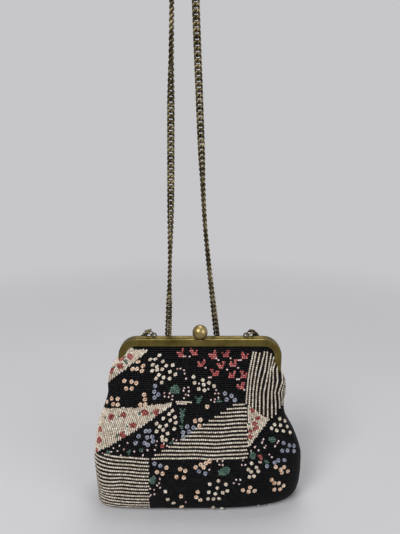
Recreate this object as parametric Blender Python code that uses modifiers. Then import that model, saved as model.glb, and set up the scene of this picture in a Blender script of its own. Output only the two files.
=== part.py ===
"""A beaded evening purse with a kiss-lock frame and a curb chain, built as separate pieces.

Metres, +Z up. The origin is on the surface that the purse stands on, under the middle of the
bag. The front, with the large clasp ball, faces -Y. The front half of the frame turns about
an axis along X, through the two rivets at the lower ends of the frame's arms.
"""

import math

import bmesh
import bpy
from mathutils import Matrix, Vector

# The clearance shared by every seat, and the tolerances and angles used all over
SEAT_GAP = 0.0003
WELD = 0.000003
SHARP_ANGLE = math.radians(50)
WIRE_RESOLUTION = 1

# The frame: two bent channels that meet over the mouth
FRAME_WIDTH = 0.162
HINGE_HEIGHT = 0.138
ARM_RISE = 0.040
CORNER_RADIUS = 0.018
CORNER_STEPS = 6
CHANNEL_DEPTH = 0.0050
CHANNEL_HEIGHT = 0.0072
CHANNEL_WALL = 0.0008
CHANNEL_ROUNDING = 0.0013
ROUNDING_STEPS = 2
PARTING_GAP = 0.0006

# The hinge: a lug on each arm and a rivet through both
LUG_RADIUS = 0.0043
LUG_THICKNESS = 0.0010
LUG_STEM = 0.0046
LUG_INSET = 0.0005
LUG_PROUD = 0.0001
LUG_STEP_SHARE = 0.33
RIVET_RADIUS = 0.0012
RIVET_HEAD_RADIUS = 0.0023
RIVET_HEAD_THICKNESS = 0.0007
RIVET_CROWN_SHARE = 0.8
RIVET_SIDES = 14

# The clasp: a large ball on the front half and a small knob behind it
BALL_RADIUS = 0.0075
BALL_LEAN = 0.0032
BALL_STEM_RADIUS = 0.0016
KNOB_RADIUS = 0.0040
KNOB_LEAN = 0.0028
KNOB_STEM_RADIUS = 0.0011
KNOB_RISE = 0.0006
BALL_SEGMENTS = 20
BALL_RINGS = 11
KNOB_SEGMENTS = 12
KNOB_RINGS = 7
STEM_SIDES = 12

# The ears on the rear half, and the rings that carry the chain
EAR_SPREAD = 0.046
EAR_WIRE = 0.0007
EAR_INNER_RADIUS = 0.0016
EAR_LEG = 0.0009
RING_RADIUS = 0.0036
RING_WIRE = 0.0006
RING_TILT = math.radians(30)
RING_POINTS = 12

# The bag: half sizes at its widest, and how far below the hinge lugs its mouth starts to open
BAG_HALF_WIDTH = 0.108
BAG_HALF_DEPTH = 0.034
MOUTH_DROP = 0.0047
MOUTH_HALF_WIDTH = 0.086
MOUTH_HALF_DEPTH = 0.0155
BAG_POWER = 2.6
PANEL_THICKNESS = 0.0018
PANEL_COLUMNS = 14
LINING_THICKNESS = 0.0007
LINING_EASE = 0.0004
BASE_ROUND_SHARE = 0.11
CORD_RADIUS = 0.0010
PANEL_RELIEF = 0.0004

# Height as a share of the mouth's height, then width and depth as shares of the half sizes
LOWER_SHARES = (
    (0.0, 0.82, 0.0),
    (0.0, 0.86, 0.65),
    (0.03, 0.93, 0.84),
    (0.11, 0.975, 0.95),
    (0.28, 1.0, 1.0),
    (0.46, 0.995, 0.94),
    (0.62, 0.955, 0.82),
    (0.77, 0.90, 0.68),
    (0.90, 0.86, 0.54),
)
# Rise as a share of the mouth's drop, then bulge and flare as shares of the mouth's
GATHER_SHARES = (
    (0.0, 1.0, 1.0),
    (0.58, 0.92, 0.6),
    (1.15, 0.80, 0.05),
)
# The same, but the rise as a share of the height from the mouth to the top
UPPER_SHARES = (
    (0.35, 0.50, 0.0),
    (0.62, 0.26, 0.0),
    (0.78, 0.11, 0.0),
    (0.90, 0.03, 0.0),
    (0.97, 0.0, 0.0),
    (1.0, 0.0, 0.0),
)

# The slip pocket on the rear lining
POCKET_HALF_WIDTH = 0.040
POCKET_LOW = 0.048
POCKET_HIGH = 0.100
POCKET_THICKNESS = 0.0006
POCKET_EASE = 0.0006
POCKET_COLUMNS = 6
POCKET_ROWS = 5

# The curb chain: each link is an oval of wire, twisted a quarter turn from end to end
CHAIN_WIDTH = 0.0064
CHAIN_PITCH = 0.0052
CHAIN_WIRE = 0.0015
LINK_TWIST = math.radians(45)
LINK_END_HALF = 0.00125
LINK_PLAY = 0.00045
LINK_CORNERS = 6
WIRE_SIDES = 4
WIRE_SIDE_SHARE = 0.80
ROUTE_STEPS = 12

# The chain's route: from the left ring it hangs in a loop behind the bag, rises past the
# frame to a hook above, comes down and hangs in a second loop to the right ring
ROUTE = (
    (-0.0508, 0.0028, 0.1838),
    (-0.0551, 0.0047, 0.1830),
    (-0.0593, 0.0077, 0.1807),
    (-0.0622, 0.0112, 0.1770),
    (-0.0634, 0.0134, 0.1700),
    (-0.0642, 0.0162, 0.1560),
    (-0.0648, 0.0205, 0.1400),
    (-0.0608, 0.0238, 0.1260),
    (-0.0495, 0.0258, 0.1190),
    (-0.0382, 0.0245, 0.1260),
    (-0.0342, 0.0208, 0.1400),
    (-0.0334, 0.0162, 0.1560),
    (-0.0327, 0.0128, 0.1730),
    (-0.0310, 0.0112, 0.2080),
    (-0.0277, 0.0110, 0.3040),
    (-0.0258, 0.0110, 0.4010),
    (-0.0236, 0.0110, 0.4900),
    (-0.0260, 0.0110, 0.5020),
    (-0.0256, 0.0110, 0.5120),
    (-0.0207, 0.0110, 0.5200),
    (-0.0137, 0.0110, 0.5225),
    (-0.0067, 0.0110, 0.5200),
    (-0.0018, 0.0110, 0.5120),
    (-0.0014, 0.0110, 0.5020),
    (-0.0038, 0.0110, 0.4900),
    (-0.0005, 0.0110, 0.4010),
    (0.0037, 0.0110, 0.3040),
    (0.0076, 0.0110, 0.2580),
    (0.0132, 0.0112, 0.2080),
    (0.0172, 0.0128, 0.1730),
    (0.0180, 0.0162, 0.1560),
    (0.0196, 0.0208, 0.1400),
    (0.0252, 0.0248, 0.1260),
    (0.0400, 0.0268, 0.1175),
    (0.0560, 0.0245, 0.1250),
    (0.0632, 0.0205, 0.1400),
    (0.0642, 0.0162, 0.1560),
    (0.0634, 0.0134, 0.1700),
    (0.0622, 0.0112, 0.1770),
    (0.0593, 0.0077, 0.1807),
    (0.0551, 0.0041, 0.1828),
    (0.0508, 0.0019, 0.1835),
)
# Where the chain is parted into nodes, as shares of its links
CHAIN_NAMES = (
    "chain_left_slack",
    "chain_left_strand",
    "chain_top_loop",
    "chain_right_strand",
    "chain_right_slack",
)
CHAIN_END_SHARES = (0.145, 0.44, 0.56, 0.845, 1.0)

# Sizes that follow from the ones above
FRAME_TOP = HINGE_HEIGHT + ARM_RISE
FRAME_HALF_WIDTH = FRAME_WIDTH / 2
HALF_CENTRE = PARTING_GAP / 2 + CHANNEL_DEPTH / 2
ARM_END = HINGE_HEIGHT + LUG_RADIUS + LUG_INSET
MOUTH_HEIGHT = HINGE_HEIGHT - LUG_RADIUS - MOUTH_DROP
PANEL_INSET = CHANNEL_WALL + SEAT_GAP + 2 * CORD_RADIUS + SEAT_GAP + PANEL_RELIEF
LINING_INSET = CHANNEL_HEIGHT + SEAT_GAP + PANEL_RELIEF
SLOT_FACE = HALF_CENTRE + PANEL_THICKNESS / 2
LINING_DEPTH = PANEL_THICKNESS + LINING_EASE
REAR_LUG_OUTER = FRAME_HALF_WIDTH + LUG_PROUD
REAR_LUG_INNER = REAR_LUG_OUTER - LUG_THICKNESS
FRONT_LUG_OUTER = REAR_LUG_INNER - SEAT_GAP
FRONT_LUG_INNER = FRONT_LUG_OUTER - LUG_THICKNESS

FRONT = -1
REAR = 1
LEFT = -1
RIGHT = 1


def clear_scene():
    for old in list(bpy.data.objects):
        bpy.data.objects.remove(old, do_unlink=True)


def new_collection(name):
    found = bpy.data.collections.new(name)
    bpy.context.scene.collection.children.link(found)
    return found


def new_material(name, colour, metallic, roughness):
    made = bpy.data.materials.new(name)
    made.use_nodes = True
    shader = made.node_tree.nodes["Principled BSDF"]
    shader.inputs["Base Color"].default_value = (*colour, 1.0)
    shader.inputs["Metallic"].default_value = metallic
    shader.inputs["Roughness"].default_value = roughness
    made.diffuse_color = (*colour, 1.0)
    return made


clear_scene()
parts = new_collection("beaded_kiss_lock_purse")
cutters = new_collection("cutters")

BRASS = new_material("antique_brass", (0.22, 0.15, 0.06), 1.0, 0.38)
BRIGHT_BRASS = new_material("rubbed_brass", (0.45, 0.36, 0.16), 1.0, 0.25)
CHAIN_METAL = new_material("dark_bronze", (0.13, 0.10, 0.05), 1.0, 0.42)
BEADED = new_material("black_beaded_cloth", (0.012, 0.012, 0.016), 0.0, 0.35)
SATIN = new_material("ivory_satin", (0.62, 0.52, 0.38), 0.0, 0.45)
TWINE = new_material("paper_twine", (0.42, 0.31, 0.19), 0.0, 0.85)


def add_mesh(name, mesh, material, collection=parts):
    made = bpy.data.objects.new(name, mesh)
    collection.objects.link(made)
    if material:
        mesh.materials.clear()
        mesh.materials.append(material)
    return made


def mesh_from(build, name):
    """A mesh filled by a function that takes an empty bmesh."""
    bm = bmesh.new()
    build(bm)
    mesh = bpy.data.meshes.new(name)
    bm.to_mesh(mesh)
    bm.free()
    return mesh


def smooth(made):
    made.data.shade_smooth()
    made.data.set_sharp_from_angle(angle=SHARP_ANGLE)


def hide_helper(made):
    made.hide_render = True
    made.display_type = "WIRE"
    return made


def box_cutter(name, low, high):
    """A helper box between two corners, in world places."""
    size = Vector(high) - Vector(low)
    centre = (Vector(high) + Vector(low)) / 2
    place = Matrix.Translation(centre) @ Matrix.Diagonal((*size, 1))
    mesh = mesh_from(lambda bm: bmesh.ops.create_cube(bm, size=1, matrix=place), name)
    return hide_helper(add_mesh(name, mesh, None, cutters))


def cylinder_mesh(name, start, end, radius, sides):
    """A cylinder between two points, along any direction."""
    axis = Vector(end) - Vector(start)
    turn = axis.to_track_quat("Z", "Y").to_matrix().to_4x4()
    place = Matrix.Translation((Vector(start) + Vector(end)) / 2) @ turn

    def build(bm):
        bmesh.ops.create_cone(
            bm,
            cap_ends=True,
            segments=sides,
            radius1=radius,
            radius2=radius,
            depth=axis.length,
            matrix=place,
        )

    return mesh_from(build, name)


def boolean(made, other, operation):
    modifier = made.modifiers.new(f"{operation.lower()} {other.name}", "BOOLEAN")
    modifier.operation = operation
    modifier.solver = "EXACT"
    modifier.object = other


def apply_modifiers(made):
    """Replaces the object's mesh by the one that its modifiers make."""
    bpy.context.view_layer.update()
    graph = bpy.context.evaluated_depsgraph_get()
    mesh = bpy.data.meshes.new_from_object(made.evaluated_get(graph))
    made.modifiers.clear()
    made.data = mesh


def remove_helper(helper):
    bpy.data.objects.remove(helper, do_unlink=True)


def new_curve(name, points, cyclic, collection):
    """A curve object with one straight-segmented spline through 3D points."""
    curve = bpy.data.curves.new(name, "CURVE")
    curve.dimensions = "3D"
    spline = curve.splines.new("POLY")
    spline.points.add(len(points) - 1)
    for corner, point in zip(spline.points, points):
        corner.co = (*point, 1)
    spline.use_cyclic_u = cyclic
    made = bpy.data.objects.new(name, curve)
    collection.objects.link(made)
    return made


def curve_as_mesh(made, material):
    """Turns a curve object into a mesh object of the same name, with its caps welded on."""
    bpy.context.view_layer.update()
    graph = bpy.context.evaluated_depsgraph_get()
    mesh = bpy.data.meshes.new_from_object(made.evaluated_get(graph))
    bm = bmesh.new()
    bm.from_mesh(mesh)
    bmesh.ops.remove_doubles(bm, verts=bm.verts, dist=WELD)
    bmesh.ops.recalc_face_normals(bm, faces=bm.faces)
    bm.to_mesh(mesh)
    bm.free()
    name = made.name
    place = made.matrix_world.copy()
    bpy.data.objects.remove(made, do_unlink=True)
    solid = add_mesh(name, mesh, material)
    solid.matrix_world = place
    return solid


def flat_plate(name, outline, thickness):
    """A helper: an outline in (Y, Z), filled and extruded along X, centred on X = 0."""
    curve = bpy.data.curves.new(name, "CURVE")
    curve.dimensions = "2D"
    curve.fill_mode = "BOTH"
    curve.extrude = thickness / 2
    spline = curve.splines.new("POLY")
    spline.points.add(len(outline) - 1)
    for corner, (y, z) in zip(spline.points, outline):
        corner.co = (y, z, 0, 1)
    spline.use_cyclic_u = True
    made = bpy.data.objects.new(name, curve)
    parts.objects.link(made)
    made.matrix_world = Matrix(((0, 0, 1, 0), (1, 0, 0, 0), (0, 1, 0, 0), (0, 0, 0, 1)))
    return curve_as_mesh(made, None)


def frame_line(inset, foot=ARM_END):
    """Points in (X, Z) along the frame, from one arm's foot to the other's, this far inside."""
    radius = CORNER_RADIUS - inset
    centre_x = FRAME_HALF_WIDTH - CORNER_RADIUS
    centre_z = FRAME_TOP - CORNER_RADIUS
    half = []
    for step in range(CORNER_STEPS + 1):
        angle = math.pi / 2 * step / CORNER_STEPS
        half.append((centre_x + radius * math.cos(angle), centre_z + radius * math.sin(angle)))
    right = [(FRAME_HALF_WIDTH - inset, foot)] + half
    left = [(-x, z) for x, z in reversed(right)]
    return right + left


def channel_profile():
    """The channel's section: x runs from its outer face inwards, y across its depth."""
    half_depth = CHANNEL_DEPTH / 2
    corner = []
    for step in range(ROUNDING_STEPS + 1):
        angle = math.pi / 2 * step / ROUNDING_STEPS
        across = half_depth - CHANNEL_ROUNDING * (1 - math.sin(angle))
        corner.append((CHANNEL_ROUNDING * (1 - math.cos(angle)), across))
    outer = corner + [(CHANNEL_HEIGHT, half_depth)]
    inner = [(CHANNEL_HEIGHT, half_depth - CHANNEL_WALL), (CHANNEL_WALL, half_depth - CHANNEL_WALL)]
    half = outer + inner
    return half + [(x, -y) for x, y in reversed(half)]


def channel(name, side):
    """One half of the frame: the section swept along the bent line, at one side of Y = 0."""
    section = [(-x, y, 0) for x, y in channel_profile()]
    profile = new_curve(f"{name}_section", section, True, cutters)
    profile.data.dimensions = "2D"
    hide_helper(profile)
    line = new_curve(name, [(x, z, 0) for x, z in frame_line(0)], False, parts)
    line.data.dimensions = "2D"
    line.data.bevel_mode = "OBJECT"
    line.data.bevel_object = profile
    line.data.use_fill_caps = True
    stand = Matrix.Rotation(math.pi / 2, 4, "X")
    line.matrix_world = Matrix.Translation((0, side * HALF_CENTRE, 0)) @ stand
    solid = curve_as_mesh(line, BRASS)
    remove_helper(profile)
    return solid


def lug_outline(side):
    """A round eye about the hinge axis with a stem that rises into one half's channel."""
    eye = []
    for step in range(RIVET_SIDES + 1):
        angle = math.pi * step / RIVET_SIDES
        eye.append((LUG_RADIUS * math.cos(angle), -LUG_RADIUS * math.sin(angle)))
    near = PARTING_GAP / 2 + CHANNEL_WALL + SEAT_GAP
    far = PARTING_GAP / 2 + CHANNEL_DEPTH - CHANNEL_WALL - SEAT_GAP
    shoulder = LUG_RADIUS + LUG_INSET / 2
    top = LUG_RADIUS + LUG_INSET + LUG_STEM
    stem = [(near, shoulder), (near, top), (far, top), (far, shoulder)]
    return [(side * y, z) for y, z in stem + eye]


def join_lugs(frame, side):
    """Adds both hinge lugs to a half of the frame. The front half's sit inside the rear's."""
    inner = FRONT_LUG_INNER if side == FRONT else REAR_LUG_INNER
    for end in (LEFT, RIGHT):
        plate = flat_plate(f"lug_{end}", lug_outline(side), LUG_THICKNESS)
        plate.location.x = end * (inner + LUG_THICKNESS / 2)
        plate.location.z = HINGE_HEIGHT
        boolean(frame, plate, "UNION")
        apply_modifiers(frame)
        remove_helper(plate)
        if side == FRONT:
            join_front_step(frame, end)


def join_front_step(frame, end):
    """Carries a front lug's stem across to the outer wall of its channel."""
    near = PARTING_GAP / 2 + CHANNEL_WALL + 2 * SEAT_GAP
    far = PARTING_GAP / 2 + CHANNEL_DEPTH - CHANNEL_WALL - 2 * SEAT_GAP
    in_lug = end * (FRONT_LUG_INNER + LUG_THICKNESS / 2)
    in_wall = end * (FRAME_HALF_WIDTH - CHANNEL_WALL / 2)
    low = (min(in_lug, in_wall), -far, ARM_END + LUG_STEM * LUG_STEP_SHARE)
    high = (max(in_lug, in_wall), -near, ARM_END + LUG_STEM - SEAT_GAP)
    step = box_cutter("lug_step", low, high)
    boolean(frame, step, "UNION")
    apply_modifiers(frame)
    remove_helper(step)


def cut_hole(made, start, end, radius, sides):
    hole = add_mesh("hole", cylinder_mesh("hole", start, end, radius, sides), None, cutters)
    boolean(made, hole, "DIFFERENCE")
    apply_modifiers(made)
    remove_helper(hole)


def frame_half(name, side, stem_radius, stem_y):
    """A finished half: channel, lugs, rivet holes and the hole for its clasp stem."""
    frame = channel(name, side)
    join_lugs(frame, side)
    for end in (LEFT, RIGHT):
        start = (end * (FRONT_LUG_INNER - LUG_THICKNESS), 0, HINGE_HEIGHT)
        stop = (end * (REAR_LUG_OUTER + LUG_THICKNESS), 0, HINGE_HEIGHT)
        cut_hole(frame, start, stop, RIVET_RADIUS + SEAT_GAP, RIVET_SIDES)
    low = (0, stem_y, FRAME_TOP - 2 * CHANNEL_WALL)
    high = (0, stem_y, FRAME_TOP + CHANNEL_WALL)
    cut_hole(frame, low, high, stem_radius + SEAT_GAP, STEM_SIDES)
    smooth(frame)
    return frame


def rivet(name, end):
    """A turned rivet: a shank through both lugs with a domed head at each side."""
    outer = REAR_LUG_OUTER + SEAT_GAP
    inner = FRONT_LUG_INNER - SEAT_GAP
    edge = RIVET_HEAD_RADIUS * RIVET_CROWN_SHARE
    half = RIVET_HEAD_THICKNESS / 2
    profile = (
        (0, outer + RIVET_HEAD_THICKNESS),
        (edge, outer + RIVET_HEAD_THICKNESS),
        (RIVET_HEAD_RADIUS, outer + half),
        (RIVET_HEAD_RADIUS, outer),
        (RIVET_RADIUS, outer),
        (RIVET_RADIUS, inner),
        (RIVET_HEAD_RADIUS, inner),
        (RIVET_HEAD_RADIUS, inner - half),
        (edge, inner - RIVET_HEAD_THICKNESS),
        (0, inner - RIVET_HEAD_THICKNESS),
    )
    mesh = bpy.data.meshes.new(name)
    points = [(radius, 0, along) for radius, along in profile]
    mesh.from_pydata(points, [(k, k + 1) for k in range(len(points) - 1)], [])
    made = add_mesh(name, mesh, BRIGHT_BRASS)
    screw = made.modifiers.new("turn", "SCREW")
    screw.steps = RIVET_SIDES
    screw.render_steps = RIVET_SIDES
    screw.use_merge_vertices = True
    screw.merge_threshold = WELD
    screw.use_smooth_shade = False
    made.rotation_euler.y = end * math.pi / 2
    made.location.z = HINGE_HEIGHT
    return made


def ball_on_stem(name, centre, radius, segments, rings, stem_y, stem_radius):
    """A ball with the stem that holds it through the top of one half of the frame."""

    def build(bm):
        bmesh.ops.create_uvsphere(
            bm,
            u_segments=segments,
            v_segments=rings,
            radius=radius,
            matrix=Matrix.Translation(centre),
        )

    made = add_mesh(name, mesh_from(build, name), BRIGHT_BRASS)
    low = (0, stem_y, FRAME_TOP - CHANNEL_WALL)
    high = (0, stem_y, centre[2])
    rod = cylinder_mesh("stem", low, high, stem_radius, STEM_SIDES)
    stem = add_mesh("stem", rod, None, cutters)
    boolean(made, stem, "UNION")
    apply_modifiers(made)
    remove_helper(stem)
    smooth(made)
    return made


def tube(name, points, radius, material, cyclic=False):
    made = new_curve(name, points, cyclic, parts)
    made.data.bevel_depth = radius
    made.data.bevel_resolution = WIRE_RESOLUTION
    made.data.use_fill_caps = True
    solid = curve_as_mesh(made, material)
    smooth(solid)
    return solid


def packing_cord(name, side):
    """The twine that wedges the cloth into one channel, from above one lug to the other."""
    line = frame_line(CHANNEL_WALL + SEAT_GAP + CORD_RADIUS, ARM_END + LUG_STEM + 2 * SEAT_GAP)
    return tube(name, [(x, side * HALF_CENTRE, z) for x, z in line], CORD_RADIUS, TWINE)


def ear(name, end):
    """A staple of wire on the top of the rear half, with an eye for the chain's ring."""
    radius = EAR_INNER_RADIUS + EAR_WIRE
    foot = FRAME_TOP + SEAT_GAP
    points = [(radius, foot)]
    for step in range(CORNER_STEPS + 1):
        angle = math.pi * step / CORNER_STEPS
        points.append((radius * math.cos(angle), foot + EAR_LEG + radius * math.sin(angle)))
    points.append((-radius, foot))
    return tube(name, [(end * EAR_SPREAD + x, HALF_CENTRE, z) for x, z in points], EAR_WIRE, BRASS)


def jump_ring(name, end):
    """The ring through one ear: it lies along the frame's depth and leans outwards."""
    hook = Vector((end * EAR_SPREAD, HALF_CENTRE, FRAME_TOP + 2 * SEAT_GAP + RING_WIRE * 2))
    lean = Vector((end * math.cos(RING_TILT), 0, math.sin(RING_TILT)))
    centre = hook + lean * RING_RADIUS
    points = []
    for step in range(RING_POINTS):
        angle = 2 * math.pi * step / RING_POINTS
        along = lean * (RING_RADIUS * math.cos(angle))
        across = Vector((0, RING_RADIUS * math.sin(angle), 0))
        points.append(centre + along + across)
    return tube(name, points, RING_WIRE, BRASS, cyclic=True)


def frame_half_width(height, inset):
    """Half the width inside the frame at a height, this far from the frame's outer edge."""
    rise = height - (FRAME_TOP - CORNER_RADIUS)
    radius = CORNER_RADIUS - inset
    if rise <= 0:
        return FRAME_HALF_WIDTH - inset
    return FRAME_HALF_WIDTH - CORNER_RADIUS + math.sqrt(max(radius**2 - rise**2, 0))


def bag_rows(inset, low=0.0, high=FRAME_TOP):
    """The bag's rows from low to high, as (height, half width, bulge, flare).

    The flare is 1 where the sides are sewn together and 0 where they stand in the frame.
    """
    rows = []
    for height, width, bulge in LOWER_SHARES:
        rows.append((height * MOUTH_HEIGHT, width * BAG_HALF_WIDTH, bulge * BAG_HALF_DEPTH, 1.0))
    span = FRAME_TOP - PANEL_INSET - MOUTH_HEIGHT
    upper = [(rise * MOUTH_DROP, bulge, flare) for rise, bulge, flare in GATHER_SHARES]
    upper += [(rise * span, bulge, flare) for rise, bulge, flare in UPPER_SHARES]
    for rise, bulge, flare in upper:
        height = MOUTH_HEIGHT + rise
        inside = frame_half_width(height, inset)
        width = inside + flare * (MOUTH_HALF_WIDTH - inside)
        rows.append((height, width, bulge * MOUTH_HALF_DEPTH, flare))
    high = min(high, FRAME_TOP - inset)
    kept = [row for row in rows if low <= row[0] <= high]
    if low > 0:
        kept.insert(0, between(rows, low))
    if high < rows[-1][0]:
        kept.append((high, frame_half_width(high, inset), *between(rows, high)[2:]))
    return kept


def sunk_row(row, depth):
    """A row of the surface that lies this far inside the bag's outer one."""
    height, half_width, bulge, flare = row
    rounding = BASE_ROUND_SHARE * MOUTH_HEIGHT
    height += depth * max(0, 1 - height / rounding)
    edge = (SLOT_FACE - depth) * (1 - flare)
    return (height, half_width - depth * flare, edge, max(bulge - depth * flare, 0), flare)


def oval(turn):
    """A point of a unit superellipse's outer half, turn running from 0 to 1 round it."""
    power = 2 / BAG_POWER
    cosine = math.cos(math.pi * turn)
    return -math.copysign(abs(cosine) ** power, cosine), max(math.sin(math.pi * turn), 0) ** power


def row_point(row, k, side, margin):
    """A point of a sunk row, from the left seam (k = 0) to the right one.

    Where the row stands in the frame, its two end strips of this margin's width are flat.
    """
    height, half_width, edge, bulge, flare = row
    x, y = oval(k / PANEL_COLUMNS)
    sewn = Vector((x * half_width, y * bulge))
    if k in (0, PANEL_COLUMNS):
        framed = Vector((x * half_width, 0))
    else:
        x, y = oval((k - 1) / (PANEL_COLUMNS - 2))
        framed = Vector((x * (half_width - margin), y * bulge))
    x, y = framed.lerp(sewn, flare)
    return (x, side * (SEAT_GAP / 2 + edge + y), height)


def surface(bm, rows, depth, side, margin):
    """A grid of vertices over one side of the bag, this far inside its outer surface."""
    grid = []
    for row in rows:
        sunk = sunk_row(row, depth)
        points = [row_point(sunk, k, side, margin) for k in range(PANEL_COLUMNS + 1)]
        grid.append([bm.verts.new(point) for point in points])
    return grid


def add_quads(bm, low, high):
    """Skins the strip between two lines of vertices."""
    for k in range(len(low) - 1):
        bm.faces.new((low[k], low[k + 1], high[k + 1], high[k]))


def bag_layer(name, side, rows, depth, thickness, margin, material):
    """One layer of cloth between two sunk surfaces, closed along its four edges."""

    def build(bm):
        outer = surface(bm, rows, depth, side, margin)
        inner = surface(bm, rows, depth + thickness, side, margin)
        for grid in (outer, inner):
            for low, high in zip(grid, grid[1:]):
                add_quads(bm, low, high)
        add_quads(bm, outer[0], inner[0])
        add_quads(bm, outer[-1], inner[-1])
        for end in (0, -1):
            add_quads(bm, [line[end] for line in outer], [line[end] for line in inner])
        bmesh.ops.recalc_face_normals(bm, faces=bm.faces)

    made = add_mesh(name, mesh_from(build, name), material)
    smooth(made)
    return made


def panel(name, side, low=0.0, high=FRAME_TOP):
    rows = bag_rows(PANEL_INSET, low, high)
    margin = CHANNEL_HEIGHT + SEAT_GAP - PANEL_INSET
    return bag_layer(name, side, rows, 0, PANEL_THICKNESS, margin, BEADED)


def lining(name, side, low=0.0, high=FRAME_TOP):
    rows = bag_rows(LINING_INSET, low, high)
    return bag_layer(name, side, rows, LINING_DEPTH, LINING_THICKNESS, SEAT_GAP, SATIN)


def between(rows, height):
    """The row at a height, worked out between its two neighbours."""
    for low, high in zip(rows, rows[1:]):
        if low[0] < high[0] and low[0] <= height <= high[0]:
            share = (height - low[0]) / (high[0] - low[0])
            return tuple(a + share * (b - a) for a, b in zip(low, high))
    return rows[-1]


def pocket(name):
    """A slip pocket, open at its top, sewn flat against the rear lining."""
    rows = bag_rows(LINING_INSET)
    sunk = LINING_DEPTH + LINING_THICKNESS + POCKET_EASE

    def build(bm):
        grid = []
        for r in range(POCKET_ROWS + 1):
            height = POCKET_LOW + (POCKET_HIGH - POCKET_LOW) * r / POCKET_ROWS
            row = sunk_row(between(rows, height), sunk)
            line = []
            for c in range(POCKET_COLUMNS + 1):
                x = POCKET_HALF_WIDTH * (2 * c / POCKET_COLUMNS - 1)
                share = min(abs(x) / row[1], 1)
                y = row[2] + row[3] * (1 - share**BAG_POWER) ** (1 / BAG_POWER)
                line.append(bm.verts.new((x, y, height)))
            grid.append(line)
        for low, high in zip(grid, grid[1:]):
            add_quads(bm, high, low)

    made = add_mesh(name, mesh_from(build, name), SATIN)
    wall = made.modifiers.new("wall", "SOLIDIFY")
    wall.thickness = POCKET_THICKNESS
    wall.offset = -1
    apply_modifiers(made)
    return made


def smooth_route():
    """The chain's hand-set points joined by a smooth curve, as a dense list of points."""
    points = [Vector(p) for p in ROUTE]
    ends = [2 * points[0] - points[1], *points, 2 * points[-1] - points[-2]]
    dense = []
    for before, start, stop, after in zip(ends, ends[1:], ends[2:], ends[3:]):
        for step in range(ROUTE_STEPS):
            t = step / ROUTE_STEPS
            first = (stop - before) * t
            second = (2 * before - 5 * start + 4 * stop - after) * t**2
            third = (3 * start - before - 3 * stop + after) * t**3
            dense.append(start + (first + second + third) / 2)
    return [*dense, points[-1]]


def links_along(dense):
    """The (centre, direction) of each link, a pitch apart, in one list for each node."""
    lengths = [0]
    for a, b in zip(dense, dense[1:]):
        lengths.append(lengths[-1] + (b - a).length)
    count = int(lengths[-1] / CHAIN_PITCH)
    pitch = lengths[-1] / count
    ends = [round(share * count) for share in CHAIN_END_SHARES]
    nodes = [[] for _ in CHAIN_NAMES]
    node = 0
    k = 0
    for number in range(count):
        if number == ends[node]:
            node += 1
        along = (number + 1 / 2) * pitch
        while lengths[k + 1] < along and k < len(dense) - 2:
            k += 1
        step = dense[k + 1] - dense[k]
        share = (along - lengths[k]) / (lengths[k + 1] - lengths[k])
        nodes[node].append((dense[k] + step * share, step.normalized()))
    return nodes, pitch, lengths[-1]


def link_corners(centre, along, pitch):
    """The six corners of a link's centre line: two at each end and one at each side."""
    half_side = CHAIN_WIRE / 2 * WIRE_SIDE_SHARE
    reach = (pitch + LINK_PLAY) / 2 + half_side
    half_width = (CHAIN_WIDTH - CHAIN_WIRE) / 2
    depth = Vector((0, 1, 0))
    normal = (depth - along * depth.dot(along)).normalized()
    across = along.cross(normal)
    corners = []
    for length, width, turn in (
        (1, LINK_END_HALF, 1),
        (0, half_width, 0),
        (-1, LINK_END_HALF, -1),
        (-1, -LINK_END_HALF, -1),
        (0, -half_width, 0),
        (1, -LINK_END_HALF, 1),
    ):
        twist = LINK_TWIST * turn
        side = across * math.cos(twist) + normal * math.sin(twist)
        corners.append(centre + along * (length * reach) + side * width)
    return corners


def link_rings(bm, centre, along, pitch):
    """The square section of a link's wire at each corner. Its first side faces inwards."""
    half_side = CHAIN_WIRE / 2 * WIRE_SIDE_SHARE
    corners = link_corners(centre, along, pitch)
    sides = (1, 4)
    rings = []
    for k, corner in enumerate(corners):
        leaving = (corners[(k + 1) % LINK_CORNERS] - corner).normalized()
        forward = (leaving + (corner - corners[k - 1]).normalized()).normalized()
        spoke = corner - centre
        out = (spoke - forward * spoke.dot(forward)).normalized()
        flat = forward.cross(out)
        lean = abs(out.dot(along))
        mitre = half_side if k in sides else half_side / lean
        section = (
            (-mitre, -half_side),
            (-mitre, half_side),
            (mitre, half_side),
            (mitre, -half_side),
        )
        rings.append([bm.verts.new(corner + out * o + flat * f) for o, f in section])
    return rings


def inner_face(rings, k):
    """The four corners of the inward face of the wire between a corner and the next."""
    after = (k + 1) % LINK_CORNERS
    return [rings[k][0], rings[k][1], rings[after][1], rings[after][0]]


def bridge(bm, far, near):
    """Joins two links where they bear on each other, corner to nearest corner."""
    orders = []
    for turned in (near, near[::-1]):
        orders += [turned[k:] + turned[:k] for k in range(WIRE_SIDES)]
    best = min(orders, key=lambda order: sum((a.co - b.co).length for a, b in zip(far, order)))
    for k in range(WIRE_SIDES):
        bm.faces.new((far[k], far[k - 1], best[k - 1], best[k]))


def chain_node(name, links, pitch):
    """A stretch of chain, each link joined to the next one on the faces that touch."""
    far_end = 5
    near_end = 2

    def build(bm):
        before = None
        for number, (centre, along) in enumerate(links):
            rings = link_rings(bm, centre, along, pitch)
            bearing = {near_end} if before else set()
            if number < len(links) - 1:
                bearing.add(far_end)
            for k in range(LINK_CORNERS):
                low = rings[k]
                high = rings[(k + 1) % LINK_CORNERS]
                for j in range(k in bearing, WIRE_SIDES):
                    after = (j + 1) % WIRE_SIDES
                    bm.faces.new((low[j], low[after], high[after], high[j]))
            if before:
                bridge(bm, inner_face(before, far_end), inner_face(rings, near_end))
            before = rings
        bmesh.ops.recalc_face_normals(bm, faces=bm.faces)

    return add_mesh(name, mesh_from(build, name), CHAIN_METAL)


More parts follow.
